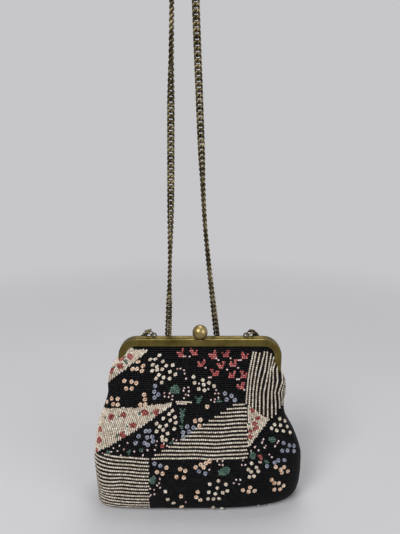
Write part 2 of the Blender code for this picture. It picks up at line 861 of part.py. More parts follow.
ball_y = -HALF_CENTRE - BALL_LEAN
knob_y = HALF_CENTRE + KNOB_LEAN
front_stem_y = -HALF_CENTRE
rear_stem_y = HALF_CENTRE
ball_centre = (0, ball_y, FRAME_TOP + SEAT_GAP + BALL_RADIUS)
knob_centre = (0, knob_y, FRAME_TOP + SEAT_GAP + KNOB_RISE + KNOB_RADIUS)

front_frame = frame_half("front_frame_half", FRONT, BALL_STEM_RADIUS, front_stem_y)
frame_half("rear_frame_half", REAR, KNOB_STEM_RADIUS, rear_stem_y)
rivet("hinge_rivet_left", LEFT)
rivet("hinge_rivet_right", RIGHT)
ball = ball_on_stem(
    "clasp_ball",
    ball_centre,
    BALL_RADIUS,
    BALL_SEGMENTS,
    BALL_RINGS,
    front_stem_y,
    BALL_STEM_RADIUS,
)
ball_on_stem(
    "clasp_knob",
    knob_centre,
    KNOB_RADIUS,
    KNOB_SEGMENTS,
    KNOB_RINGS,
    rear_stem_y,
    KNOB_STEM_RADIUS,
)
front_cord = packing_cord("packing_cord_front", FRONT)
packing_cord("packing_cord_rear", REAR)
for side_name, end in (("left", LEFT), ("right", RIGHT)):
    ear(f"chain_ear_{side_name}", end)
    jump_ring(f"jump_ring_{side_name}", end)

mouth_low = MOUTH_HEIGHT - SEAT_GAP / 2
mouth_high = MOUTH_HEIGHT + SEAT_GAP / 2
panel("rear_panel", REAR)
panel("front_panel_lower", FRONT, high=mouth_low)
upper_panel = panel("front_panel_upper", FRONT, low=mouth_high)
lining("rear_lining", REAR)
lining("front_lining_lower", FRONT, high=mouth_low)
upper_lining = lining("front_lining_upper", FRONT, low=mouth_high)
pocket("slip_pocket")

stretches, link_pitch, chain_length = links_along(smooth_route())
for chain_name, links in zip(CHAIN_NAMES, stretches):
    chain_node(chain_name, links, link_pitch)
link_count = sum(map(len, stretches))
print(f"chain: {link_count} links over {chain_length:.4f} m, pitch {link_pitch:.5f} m")

# The front half and what it carries turn about this axis
hinge = bpy.data.objects.new("frame_hinge_axis", None)
parts.objects.link(hinge)
hinge.location = (0, 0, HINGE_HEIGHT)
bpy.context.view_layer.update()
for carried in (front_frame, ball, front_cord, upper_panel, upper_lining):
    carried.parent = hinge
    carried.matrix_parent_inverse = hinge.matrix_world.inverted()
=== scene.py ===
# %% [markdown]
# # A beaded evening purse on a ball-clasp frame
# The solid model gives the frame, the hinge and the sizes. This lesson dresses it: about
# 22,000 glass beads sewn in rows on cloth, an aged brass frame, and a curb chain that hangs
# from above. Each step says what the real piece is, how it could be made, and why this way.
#
# ## Start from the imported solids
# The finished looks have to stay about the size of these solids.

import math

import bmesh
import bpy
import numpy as np
from mathutils import Matrix, Vector


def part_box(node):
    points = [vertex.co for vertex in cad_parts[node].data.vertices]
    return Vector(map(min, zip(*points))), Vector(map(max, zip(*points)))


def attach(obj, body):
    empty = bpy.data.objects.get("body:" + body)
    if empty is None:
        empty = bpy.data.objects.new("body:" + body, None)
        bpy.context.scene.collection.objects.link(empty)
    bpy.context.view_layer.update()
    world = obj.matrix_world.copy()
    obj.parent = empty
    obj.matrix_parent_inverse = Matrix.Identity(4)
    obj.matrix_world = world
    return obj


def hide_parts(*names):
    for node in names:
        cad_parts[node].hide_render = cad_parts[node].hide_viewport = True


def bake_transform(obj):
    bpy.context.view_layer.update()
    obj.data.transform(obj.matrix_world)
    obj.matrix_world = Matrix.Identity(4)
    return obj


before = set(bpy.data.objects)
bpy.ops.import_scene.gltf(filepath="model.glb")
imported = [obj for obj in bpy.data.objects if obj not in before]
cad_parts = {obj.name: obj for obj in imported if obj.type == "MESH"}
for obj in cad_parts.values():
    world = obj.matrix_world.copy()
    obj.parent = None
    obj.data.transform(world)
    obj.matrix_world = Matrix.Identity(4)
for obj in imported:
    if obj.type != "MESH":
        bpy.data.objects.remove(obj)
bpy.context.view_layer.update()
ROOT = "bag_and_rear_frame"
FRONT_BODY = "front_frame"

# %% [markdown]
# ## The camera
# The photograph was taken with a phone a little above the bag, pointing 13 degrees down. A
# camera can be guessed by eye, or solved from known sizes. Here the width of the frame, the
# width of the bag and the height of both in the picture fix its distance and height, so a
# point on the bag can be turned into a pixel of the photograph and back.

# %% Place the camera
PHOTO_WIDTH = 400
PHOTO_HEIGHT = 534
FOCAL_PIXELS = 386
CAMERA_PLACE = (0.0, -0.3565, 0.3330)
CAMERA_DOWN = math.radians(13.17)
SENSOR_WIDTH = 36
NEAREST_SEEN = 0.01

camera_data = bpy.data.cameras.new("camera")
camera_data.sensor_fit = "HORIZONTAL"
camera_data.sensor_width = SENSOR_WIDTH
camera_data.lens = SENSOR_WIDTH * FOCAL_PIXELS / PHOTO_WIDTH
camera_data.clip_start = NEAREST_SEEN
camera = bpy.data.objects.new("camera", camera_data)
bpy.context.scene.collection.objects.link(camera)
camera.location = CAMERA_PLACE
camera.rotation_euler = (math.pi / 2 - CAMERA_DOWN, 0, 0)
bpy.context.scene.camera = camera


def to_photo(points):
    """The photograph's pixels (x, y) of points in space, one row each."""
    seen = np.asarray(points) - np.array(CAMERA_PLACE)
    depth = seen[:, 1] * math.cos(CAMERA_DOWN) - seen[:, 2] * math.sin(CAMERA_DOWN)
    up = seen[:, 1] * math.sin(CAMERA_DOWN) + seen[:, 2] * math.cos(CAMERA_DOWN)
    across = PHOTO_WIDTH / 2 + FOCAL_PIXELS * seen[:, 0] / depth
    return np.stack([across, PHOTO_HEIGHT / 2 - FOCAL_PIXELS * up / depth], axis=1)


BALL_TOP = (0, -0.006, 0.193)
print("top of the clasp ball at pixel", to_photo([BALL_TOP])[0].round(1))

# %% [markdown]
# ## Floor, background and light
# A plain pale floor and a pale room, lit by large soft lamps, as in a product photograph. The
# background's paleness comes from what the camera sees of the world, not from more light on
# the purse: the Light Path node tells the rays that see it, straight or mirrored in brass and
# glass, from the light that falls on the purse. Far away the floor fades into the same
# paleness, so that no horizon shows.

# %% Build the floor
def new_material(name):
    made = bpy.data.materials.new(name)
    made.use_nodes = True
    return made, made.node_tree.nodes, made.node_tree.links


def set_shader(nodes, **values):
    """Sets constants on the Principled shader's own sockets, named with _ for a space."""
    shader = nodes["Principled BSDF"]
    for name, value in values.items():
        socket = shader.inputs[name.replace("_", " ")]
        socket.default_value = (*value, 1) if isinstance(value, tuple) else value
    return shader


def background_seen(nodes, links):
    """A socket that is 1 for rays that see the background, and 0 for light that falls."""
    path = nodes.new("ShaderNodeLightPath")
    mirrored = nodes.new("ShaderNodeMath")
    links.new(path.outputs["Is Camera Ray"], mirrored.inputs[0])
    links.new(path.outputs["Is Glossy Ray"], mirrored.inputs[1])
    through = nodes.new("ShaderNodeMath")
    through.use_clamp = True
    links.new(mirrored.outputs[0], through.inputs[0])
    links.new(path.outputs["Is Transmission Ray"], through.inputs[1])
    return through.outputs[0]


PALE = (0.57, 0.57, 0.585)
FLOOR_HALF_WIDTH = 12
FADE_START = 0.3
FADE_END = 1.3
floor_material, nodes, links = new_material("pale_floor")
shader = set_shader(nodes, Base_Color=PALE, Roughness=0.9)
place = nodes.new("ShaderNodeTexCoord")
distance = nodes.new("ShaderNodeVectorMath")
distance.operation = "LENGTH"
links.new(place.outputs["Object"], distance.inputs[0])
far_off = nodes.new("ShaderNodeMapRange")
far_off.interpolation_type = "SMOOTHSTEP"
far_off.inputs["From Min"].default_value = FADE_START
far_off.inputs["From Max"].default_value = FADE_END
links.new(distance.outputs["Value"], far_off.inputs["Value"])
seen_far = nodes.new("ShaderNodeMath")
seen_far.operation = "MULTIPLY"
links.new(far_off.outputs["Result"], seen_far.inputs[0])
links.new(background_seen(nodes, links), seen_far.inputs[1])
glow = nodes.new("ShaderNodeEmission")
glow.inputs["Color"].default_value = (*PALE, 1)
glow.inputs["Strength"].default_value = 1
fade = nodes.new("ShaderNodeMixShader")
links.new(seen_far.outputs[0], fade.inputs["Fac"])
links.new(shader.outputs["BSDF"], fade.inputs[1])
links.new(glow.outputs["Emission"], fade.inputs[2])
links.new(fade.outputs["Shader"], nodes["Material Output"].inputs["Surface"])
bm = bmesh.new()
bmesh.ops.create_grid(bm, x_segments=2, y_segments=2, size=FLOOR_HALF_WIDTH)
mesh = bpy.data.meshes.new("floor")
bm.to_mesh(mesh)
bm.free()
floor = bpy.data.objects.new("floor", mesh)
bpy.context.scene.collection.objects.link(floor)
mesh.materials.append(floor_material)
print("floor:", 2 * FLOOR_HALF_WIDTH, "m wide")

# %% Light the scene
STRENGTH_ON_PURSE = 0.45
STRENGTH_SEEN = 1.0
world = bpy.data.worlds.new("studio")
bpy.context.scene.world = world
world.use_nodes = True
nodes, links = world.node_tree.nodes, world.node_tree.links
background = nodes["Background"]
strength = nodes.new("ShaderNodeMapRange")
links.new(background_seen(nodes, links), strength.inputs["Value"])
strength.inputs["To Min"].default_value = STRENGTH_ON_PURSE
strength.inputs["To Max"].default_value = STRENGTH_SEEN
links.new(strength.outputs["Result"], background.inputs["Strength"])
background.inputs["Color"].default_value = (*PALE, 1)


LIT_POINT = Vector((0, 0, 0.12))


def soft_lamp(name, place, size, watts):
    lamp = bpy.data.lights.new(name, "AREA")
    lamp.shape = "DISK"
    lamp.size = size
    lamp.energy = watts
    made = bpy.data.objects.new(name, lamp)
    made.location = place
    made.rotation_euler = (LIT_POINT - Vector(place)).to_track_quat("-Z", "Y").to_euler()
    bpy.context.scene.collection.objects.link(made)


soft_lamp("key", (-0.9, -1.1, 1.5), 0.9, 24)
soft_lamp("fill", (1.3, -0.9, 0.9), 1.1, 8)
soft_lamp("top", (0.1, 0.5, 1.8), 1.0, 11)
bpy.context.scene.view_settings.view_transform = "Standard"
print("lamps:", len(bpy.data.lights))

# %% [markdown]
# ## Helpers that every piece shares
# A piece is a mesh object at the origin with its place in its mesh, so that a pattern on
# Object coordinates stays where it is put. A bmesh is filled by Blender's own operators,
# and `finish_piece` turns it into the object and smooths it up to a sharp edge.

# %% Helpers
def finish_piece(bm, name, materials, sharp=50):
    mesh = bpy.data.meshes.new(name)
    bm.to_mesh(mesh)
    bm.free()
    for material in materials:
        mesh.materials.append(material)
    mesh.shade_smooth()
    mesh.set_sharp_from_angle(angle=math.radians(sharp))
    made = bpy.data.objects.new(name, mesh)
    bpy.context.scene.collection.objects.link(made)
    return made


def apply_modifier(made, kind, **settings):
    """Adds one modifier with its settings and applies it to the mesh."""
    modifier = made.modifiers.new("shape", kind)
    for name, value in settings.items():
        setattr(modifier, name, value)
    bpy.context.view_layer.update()
    graph = bpy.context.evaluated_depsgraph_get()
    old = made.data
    made.data = bpy.data.meshes.new_from_object(made.evaluated_get(graph))
    made.modifiers.clear()
    made.data.name = old.name
    return made


def count_triangles(made):
    return sum(len(face.vertices) - 2 for face in made.data.polygons)


# %% [markdown]
# ## The shape of the filled bag
# The bag is a soft shell: flat where it stands, full below, drawn in at the mouth and held
# by the frame. Cloth simulation could fill it, but then the rows of beads would have to
# follow a shape that is only known afterwards. Here the shape is a table of rows measured
# against the photograph, joined by smooth curves: each row gives its height, how far it
# bulges forward, how far it reaches to the left and to the right, because the bag sits a
# little fuller on its left side, and how far its two edges stay in front of the side seams,
# because the frame holds them open.

# %% Rows of the bag's surface
# height, bulge, reach left, reach right, edge left, edge right (all in metres)
BAG_ROWS = np.array(
    [
        (0.0011, 0.0001, 0.0985, 0.0900, 0.0001, 0.0001),
        (0.0011, 0.0120, 0.1000, 0.0925, 0.0001, 0.0001),
        (0.0013, 0.0220, 0.1025, 0.0960, 0.0001, 0.0001),
        (0.0050, 0.0290, 0.1052, 0.1005, 0.0001, 0.0001),
        (0.0130, 0.0325, 0.1060, 0.1040, 0.0001, 0.0001),
        (0.0240, 0.0342, 0.1062, 0.1055, 0.0001, 0.0001),
        (0.0400, 0.0346, 0.1070, 0.1058, 0.0001, 0.0001),
        (0.0560, 0.0335, 0.1078, 0.1045, 0.0001, 0.0001),
        (0.0740, 0.0300, 0.1056, 0.0980, 0.0001, 0.0001),
        (0.0920, 0.0255, 0.1022, 0.0884, 0.0001, 0.0001),
        (0.1070, 0.0215, 0.0965, 0.0852, 0.0001, 0.0001),
        (0.1210, 0.0182, 0.0925, 0.0866, 0.0001, 0.0001),
        (0.1320, 0.0158, 0.0922, 0.0858, 0.0001, 0.0004),
        (0.1400, 0.0140, 0.0910, 0.0828, 0.0002, 0.0008),
        (0.1470, 0.0120, 0.0885, 0.0788, 0.0006, 0.0020),
        (0.1550, 0.0092, 0.0830, 0.0748, 0.0016, 0.0030),
        (0.1625, 0.0064, 0.0745, 0.0742, 0.0028, 0.0030),
        (0.1700, 0.0041, 0.0700, 0.0700, 0.0029, 0.0029),
        (0.1730, 0.0030, 0.0680, 0.0680, 0.0028, 0.0028),
    ]
)
# How square the sections are at some heights: the left side is boxy below, round above.
POWER_HEIGHTS = (0.0, 0.015, 0.09, 0.13, 0.17)
LEFT_POWERS = (7.0, 5.0, 4.3, 3.7, 3.2)
RIGHT_POWER = 2.6
SAMPLES_BETWEEN_ROWS = 8
TURNS = 240


def smooth_rows(rows, steps):
    """The table's rows joined by a smooth curve through each of them."""
    padded = np.vstack([2 * rows[0] - rows[1], rows, 2 * rows[-1] - rows[-2]])
    share = np.arange(steps)[:, None] / steps
    dense = []
    for before, start, stop, after in zip(padded, padded[1:], padded[2:], padded[3:]):
        first = (stop - before) * share
        second = (2 * before - 5 * start + 4 * stop - after) * share**2
        third = (3 * start - before - 3 * stop + after) * share**3
        dense.append(start + (first + second + third) / 2)
    return np.vstack([*dense, rows[-1:]])


def section(row):
    """Points around one row, from the left seam over the front to the right seam."""
    height, bulge, left, right, left_edge, right_edge = row
    turn = np.linspace(0, math.pi, TURNS + 1)
    cosine, sine = np.cos(turn), np.maximum(np.sin(turn), 0)
    on_left = cosine > 0
    power = 2 / np.where(on_left, np.interp(height, POWER_HEIGHTS, LEFT_POWERS), RIGHT_POWER)
    reach = np.where(on_left, -left, right)
    edge = np.where(on_left, left_edge, right_edge)
    x = reach * np.abs(cosine) ** power
    y = -(edge + np.maximum(bulge - edge, 0) * sine**power)
    return np.stack([x, y, np.full_like(x, height)], axis=1)


dense_rows = smooth_rows(BAG_ROWS, SAMPLES_BETWEEN_ROWS)
surface = np.array([section(row) for row in dense_rows])
climb = np.linalg.norm(np.diff(surface[:, TURNS // 2], axis=0), axis=1)
row_length = np.concatenate([[0], np.cumsum(climb)])
heights = surface[:, TURNS // 2, 2]
print("from the base seam to the frame, over the front:", round(row_length[-1] * 1000), "mm")

# %% Directions on the surface
NEVER_ZERO = 1e-12
across = np.gradient(surface, axis=1)
upward = np.gradient(surface, axis=0)
outward = np.cross(across, upward)
outward /= np.maximum(np.linalg.norm(outward, axis=2, keepdims=True), NEVER_ZERO)
for end in (0, -1):
    outward[:, end] = np.sign(surface[:, end, :1]) * np.array([[1, 0, 0]])
print("mean direction of the front:", outward[:, TURNS // 2].mean(axis=0).round(2))

# %% [markdown]
# ## Where each bead is sewn
# Bead cloth like this is sewn row by row: each bead's hole runs along its row, and rows lie
# one bead apart. Scattering beads would lose the rows, so they are laid out by length: along
# each row of the surface every 2 mm, and a new row every 1.84 mm, a little wider low down
# where the cloth is stretched round the base. The patch at the upper right and the cream
# patches have their rows upright, so two more layouts run up the surface there.

# %% Lay the rows of beads
BEAD_SPACING = 0.0020
BEAD_LENGTH = 0.0017
BEAD_RADIUS = 0.00094
ROW_PITCH = 0.00184
STRETCHED_PITCH = 0.0021
STRETCH_HEIGHTS = (0.030, 0.050)
# Each row starts this share of a bead further along than the row before it.
ROW_SHIFT = 0.31
# A pixel of the photograph that lies on the lowest cream row of the middle stripes.
LOWEST_STRIPE = (240, 457.8)
# Each bead is a row of numbers: three each for its place, outward and along its hole, then
# the number of its row.
ROW_NUMBER = 9


def spaced(line, pitch, offset=0.0):
    """Indices with fractions along a line of points, a pitch apart from its middle."""
    steps = np.linalg.norm(np.diff(line, axis=0), axis=1)
    lengths = np.concatenate([[0], np.cumsum(steps)])
    middle = lengths[-1] / 2
    reach = (middle - pitch / 2) / pitch
    places = np.arange(math.ceil(-reach - offset), math.floor(reach - offset) + 1)
    wanted = middle + (places + offset) * pitch
    return np.interp(wanted, lengths, np.arange(len(line)))


def blend_rows(grid, at):
    """The grid's line at a fractional first index."""
    low = min(int(at), len(grid) - 2)
    return grid[low] * (low + 1 - at) + grid[low + 1] * (at - low)


def pick(line, at):
    """The line's values at fractional indices."""
    low = np.minimum(at.astype(int), len(line) - 2)
    share = (at - low)[:, None]
    return line[low] * (1 - share) + line[low + 1] * share


def lay_row(line, out, along, pitch, number):
    """The beads of one row, from its points, their outward and their along directions."""
    at = spaced(line, pitch, ROW_SHIFT * number % 1)
    laid = [pick(line, at), pick(out, at), pick(along, at), np.full((len(at), 1), number)]
    return np.hstack(laid), at


def seen_at(across_photo):
    """How far down the photograph each of the surface's rows is seen at one place across it."""
    down = []
    for row in surface:
        seen = to_photo(row[TURNS // 4: TURNS * 3 // 4])
        down.append(np.interp(across_photo, seen[:, 0], seen[:, 1]))
    return np.array(down)


def step_rows(start, sign):
    """Lengths up or down the surface from a start, a row's pitch apart."""
    found = [start]
    while 0 < found[-1] < row_length[-1]:
        height = np.interp(found[-1], row_length, heights)
        pitch = np.interp(height, STRETCH_HEIGHTS, (STRETCHED_PITCH, ROW_PITCH))
        found.append(found[-1] + sign * pitch)
    return found[:-1]


down = seen_at(LOWEST_STRIPE[0])
stripe_length = float(np.interp(-LOWEST_STRIPE[1], -down, row_length))
rows_below = step_rows(stripe_length, -1)
rows_below = rows_below[:len(rows_below) - (len(rows_below) + 1) % 2]
row_lengths = rows_below[::-1] + step_rows(stripe_length, 1)[1:]
row_starts = np.interp(row_lengths, row_length, np.arange(len(row_length)))
level_rows = []
for number, start in enumerate(row_starts):
    line, out, along = (blend_rows(grid, start) for grid in (surface, outward, across))
    level_rows.append(lay_row(line, out, along, BEAD_SPACING, number)[0])
level_beads = np.vstack(level_rows)
print("level rows:", len(row_starts), "beads:", len(level_beads))

# %% Let the rows wave and sag
# The cloth is held at the base and at the frame, and free a little way from both.
HELD_LOW = 0.006
HELD_HIGH = 0.158
HELD_FADE = 0.02
# height, length across, length upward, shift of each wave
WAVES = ((0.0004, 0.0115, 0.022, 0), (0.00025, 0.0049, -0.014, 1))
# A fold low on the left: its height, half its height, where it starts, its width, its drop.
FOLD_HEIGHT = 0.037
FOLD_HALF_HEIGHT = 0.013
FOLD_START = 0.078
FOLD_WIDTH = 0.022
FOLD_DROP = 0.0036


def sag(x, z):
    """How far soft cloth lets its rows wave, and drop at the fold, in metres."""
    held = np.clip((z - HELD_LOW) / HELD_FADE, 0, 1) * np.clip((HELD_HIGH - z) / HELD_FADE, 0, 1)
    wave = sum(high * np.sin(x / wide + z / tall + shift) for high, wide, tall, shift in WAVES)
    fold = np.exp(-(((z - FOLD_HEIGHT) / FOLD_HALF_HEIGHT) ** 2))
    fold = fold * np.clip((-x - FOLD_START) / FOLD_WIDTH, 0, 1)
    return held * (wave - FOLD_DROP * fold)


dropped = sag(level_beads[:, 0], level_beads[:, 2])
level_beads[:, 2] += dropped
print("the rows move by", round(dropped.min() * 1000, 2), "to", round(dropped.max() * 1000, 2), "mm")

# %% Lay the upright rows
# Where ten cream rows cross six heights of the photograph: they lean, and bunch at a fold.
UPRIGHT_HEIGHTS = (353, 370, 381, 393, 402, 418)
UPRIGHT_PLACES = (
    (253.2, 249.6, 248.0, 246.9, 246.2, 245.6),
    (255.9, 252.6, 250.8, 249.8, 249.4, 248.8),
    (260.0, 256.2, 254.4, 253.0, 252.7, 252.1),
    (264.4, 260.2, 257.8, 256.3, 256.0, 255.5),
    (267.3, 265.0, 261.9, 259.8, 259.7, 259.4),
    (271.2, 268.4, 266.4, 263.7, 263.7, 263.5),
    (274.6, 270.6, 269.6, 268.2, 267.7, 267.6),
    (277.0, 273.0, 273.2, 271.6, 271.8, 271.8),
    (279.0, 276.8, 277.6, 274.8, 275.6, 275.8),
    (281.5, 281.5, 282.6, 278.6, 279.5, 279.8),
)
UPRIGHT_PITCH = 0.0019
MOST_UPRIGHT_ROWS = 40
# A black row's bead is left out where the cream row before it is nearer than the gap. A
# cream row's bead has this many turns of the surface to itself, and is left out only where
# even they are narrower than the gap, in the pinched corners.
LEAST_GAP = 0.0014
CREAM_TURNS = 9


def turns_at(places):
    """The turn at which each of the surface's rows meets a line of the photograph."""
    found = []
    for row in surface:
        seen = to_photo(row[TURNS // 2:])
        ahead = seen[:, 0] - np.interp(seen[:, 1], UPRIGHT_HEIGHTS, places)
        limb = int(np.argmax(ahead)) + 1
        found.append(TURNS // 2 + np.interp(0, ahead[:limb], np.arange(limb)))
    return np.array(found)


cream_turns = [turns_at(places) for places in UPRIGHT_PLACES]
row_turns = []
for left, right in zip(cream_turns, cream_turns[1:]):
    row_turns += [left, (left + right) / 2]
row_turns.append(cream_turns[-1])
rows_seen = np.arange(len(surface))
while row_turns[-1].min() < TURNS - 1 and len(row_turns) < MOST_UPRIGHT_ROWS:
    nearest = np.minimum(row_turns[-1].astype(int), TURNS)
    turn_length = np.linalg.norm(across[rows_seen, nearest], axis=1)
    row_turns.append(row_turns[-1] + UPRIGHT_PITCH / turn_length)


def lay_up(rows, turns, pitch, number):
    """The beads of one row that climbs the surface at given turns."""
    low = np.clip(turns.astype(int), 0, TURNS - 1)
    share = np.clip(turns - low, 0, 1)[:, None]
    line, out = (g[rows, low] * (1 - share) + g[rows, low + 1] * share for g in (surface, outward))
    return lay_row(line, out, np.gradient(line, axis=0), pitch, number)


upright_rows = []
for number, turns in enumerate(row_turns):
    laid, at = lay_up(rows_seen, turns, BEAD_SPACING, number)
    free_turns = np.abs(turns - row_turns[number - 1]) if number % 2 else CREAM_TURNS
    low = np.clip(turns.astype(int), 0, TURNS - 1)
    gap = free_turns * np.linalg.norm(across[rows_seen, low], axis=1)
    kept = pick(gap[:, None], at)[:, 0] > LEAST_GAP
    kept &= pick(turns[:, None], at)[:, 0] < TURNS
    upright_rows.append(laid[kept])
upright_beads = np.vstack(upright_rows)
print("upright rows:", len(row_turns), "beads:", len(upright_beads))

# %% Lay the upright rows of the cream patches
COLUMN_PITCH = 0.0020
COLUMN_SPACING = 0.00176
# Heights that the rows of the lower cream patches run between, then those of the top one.
COLUMN_HEIGHTS = ((0.040, 0.1225), (0.1235, 0.1745))


def lay_columns(low, high):
    """Upright rows of beads all round the front, between two heights."""
    rows = np.flatnonzero((heights >= low) & (heights <= high))
    found = spaced(surface[rows[len(rows) // 2]], COLUMN_PITCH)
    laid = [
        lay_up(rows, np.full(len(rows), turn), COLUMN_SPACING, number)[0]
        for number, turn in enumerate(found)
    ]
    return np.vstack(laid)


column_beads = np.vstack([lay_columns(low, high) for low, high in COLUMN_HEIGHTS])
print("beads in upright rows for the cream patches:", len(column_beads))

# %% [markdown]
# ## The patchwork
# The pattern is a traditional one: triangles and wedges of cream, black with small flowers,
# and cream and black stripes. It could be painted as an image, but each bead has one colour,
# so the pattern is a rule that gives each bead its colour. Patches are outlines in pixels of
# the photograph, and a bead belongs to the patch that its place falls in when the camera
# looks at it. Buds, leaves and the red flowers of the cream patches are small ovals placed
# the same way, and petals and single beads get a step of their own further on.

# %% Outlines of the patches, in pixels of the photograph
CREAM_PATCHES = (
    ((126, 343.5), (131, 345), (132.5, 348.8), (140, 350), (148.8, 348.8), (148.6, 350.5),
     (107.6, 383.5), (90, 384), (110, 352)),
    ((80, 407.6), (132.8, 407.8), (149, 405), (172, 402.8), (170.5, 406.5), (159.7, 413.3),
     (145, 424.8), (131.3, 433.2), (109.3, 446.4), (97.6, 451.6), (80, 452)),
    ((247.5, 405), (269, 419.5), (249.5, 446), (247.5, 446)),
    ((174.8, 400.5), (192, 400.8), (192.4, 403.8), (177, 404.2)),
)
# The fourth is only two rows high, so its beads stay level; the others have upright rows.
UPRIGHT_CREAM = CREAM_PATCHES[:3]
LEVEL_STRIPES = (
    ((80, 451), (95, 451.4), (101.5, 453.5), (108.7, 455.1), (125, 456.4), (149.5, 457.2),
     (149.5, 560), (80, 560)),
    ((236, 403), (247.5, 403), (247.5, 460), (150, 460), (152, 457)),
)
UPRIGHT_STRIPES = (
    ((251.8, 330), (252, 353), (248.4, 370), (246.8, 381), (245.7, 393), (245.2, 404.5), (247.5, 405),
     (269, 419.8), (273, 417), (277, 412.5), (281, 407), (286, 398), (310, 398), (310, 330)),
)
# The upright stripes stop short of the frame, along a line with these points.
STRIPE_TOPS_ACROSS = (250, 266, 272, 274, 276.2, 278.6)
STRIPE_TOPS = (351.8, 351.6, 352.6, 357, 362, 367)
print("patches:", len(CREAM_PATCHES), "cream,", len(LEVEL_STRIPES + UPRIGHT_STRIPES), "striped")


def inside(points, outline):
    """Whether each point lies in the outline, by counting the edges to its right."""
    found = np.zeros(len(points), bool)
    for (x1, y1), (x2, y2) in zip(outline, outline[1:] + outline[:1]):
        if y1 == y2:
            continue
        crosses = (points[:, 1] > y1) != (points[:, 1] > y2)
        edge = x1 + (points[:, 1] - y1) / (y2 - y1) * (x2 - x1)
        found ^= crosses & (points[:, 0] < edge)
    return found


def in_any(points, outlines):
    return np.any([inside(points, outline) for outline in outlines], axis=0)


# %% Petals, buds, leaves and dots, placed one by one
CREAM_PETALS = (
    (147, 350.3), (159.5, 355.2), (155.5, 359), (150.4, 359.5), (162.9, 361.5), (152.7, 364.8),
    (157, 366.6), (166.4, 365.6), (172.8, 365.1), (152.4, 370.7), (157.2, 369.7),
    (162.3, 369.2), (170, 371.7), (159, 374.8), (175.4, 374.3), (156, 378.4), (163.6, 377.3),
    (169.7, 378.4), (161.8, 382.4), (193.5, 376.8), (194.5, 382.7), (202.7, 379.9),
    (203.7, 384.5), (209, 382.7), (198.8, 388.8), (204.4, 390.1), (214.1, 386), (172.5, 410.6),
    (169.2, 413.9), (175.1, 416.9), (163.3, 418.3), (170.3, 420.2), (175.8, 422.4),
    (156.7, 423.5), (160, 426.4), (166.3, 425.3), (156.7, 431.2), (163.3, 429.7),
    (174.3, 428.6), (167.7, 433.4), (162.2, 436.7), (162.6, 440), (166.3, 439.6),
    (165.5, 491.3), (167.7, 499), (173.6, 502.6), (218.3, 480.6), (209.9, 483.9),
    (217.2, 487.6), (208.8, 492), (215.4, 493.5), (222.7, 492.4), (208, 498.6), (213.5, 498.6),
    (219, 498.2), (213.2, 506.7), (225.9, 484.2), (227.3, 490.5), (251.5, 463.2),
    (248.3, 469.3), (251.2, 471.6), (256.3, 467.3), (258.1, 471), (249.2, 476.7), (254, 475.9),
    (221.9, 507.7), (279.5, 418.6), (284.6, 420.8),
    (274.4, 424.4), (280.2, 425.2), (286.8, 426.6), (276.6, 430.3), (283.2, 431),
    (271.4, 428.1), (289.8, 432.5),
)
PEACH_PETALS = (
    (138.2, 361.8), (143.1, 365.9), (132.8, 368.9), (137.1, 368.9), (142, 370.8),
    (124.4, 380.8), (131.7, 381.6), (136.3, 383), (126.3, 388.4), (132, 388.4), (111.9, 398.4),
    (117.9, 398.7), (107.6, 401.9), (113.5, 404.1), (117.9, 404.6), (144.2, 394.6),
    (145, 399.5), (140.4, 404.6), (145.2, 404.4), (195.2, 420.9), (200.4, 419.8),
    (199.6, 425.7), (207.3, 406.6), (157.1, 471.8), (162.6, 473.3), (166.6, 467.4),
    (180.2, 468.9), (185.3, 470.7), (176.5, 476.6), (183.9, 477.3), (180.9, 496),
    (181.7, 506.3), (197.8, 491.6), (196.3, 496.8), (200.4, 499.7), (195.6, 467.1),
    (200.7, 464.5), (205.9, 463), (209.5, 461.2), (203.7, 467.1), (242.8, 489.9), (250, 487.1),
    (248.6, 491.4), (254.6, 490.5), (275.6, 466.7), (280.4, 469.3), (283.9, 467), (287.6, 471),
    (281.6, 472.4), (271.5, 479.6), (274.1, 482.8), (278.7, 482.8), (283.3, 485.4),
    (279.9, 488.8), (274.1, 489.4),
)
BLUE_PETALS = (
    (155.2, 385.8), (154.4, 391.6), (158.5, 394.4), (154.7, 397.5), (225, 393.3),
    (231.4, 395.8), (226.5, 399.3), (234.8, 399.9), (187.2, 426.4), (183.1, 432.3),
    (189, 431.5), (193.4, 427.5), (183.5, 436.7), (149.4, 430.8), (147.2, 437.4),
    (152.3, 436.7), (153.1, 441.1), (147.9, 444.7), (154.5, 463.4), (160.4, 465.6),
    (198.9, 471.1), (205.5, 473.3), (138.7, 436.2), (135.7, 442.8), (144.5, 442.8), (146, 431),
    (267, 465.8), (274.7, 462.4), (278.1, 460.1), (284.2, 459.8), (283.3, 442.9),
    (289.1, 445.2), (293.6, 445.7), (281.9, 450.6), (287.3, 450.3), (293.6, 450.9),
)
RED_FLOWERS = (
    (121.4, 357.8), (130.3, 356.4), (120.3, 365.9), (111.1, 370.2), (111.1, 416.3),
    (123.8, 414.7), (144.7, 412.5), (156.1, 412), (132.8, 425.2), (122.5, 434.7), (99.1, 428.8),
    (99.1, 439.8), (94.7, 449.4), (252.4, 409.8), (257.5, 417.8), (254.6, 423.7), (250.2, 431),
    (256, 428.1), (250.2, 436.9), (162.6, 446.2), (260.4, 457.2),
)
BUDS = (
    (180.7, 352.9), (193.7, 352.1), (213.1, 354.9), (201.4, 363.6), (214.4, 372.8),
    (221.5, 364.6), (225.9, 353.9), (244.6, 355.7), (233.4, 363.7), (232.2, 374.6),
    (243.7, 374.6), (240.8, 385.5),
)
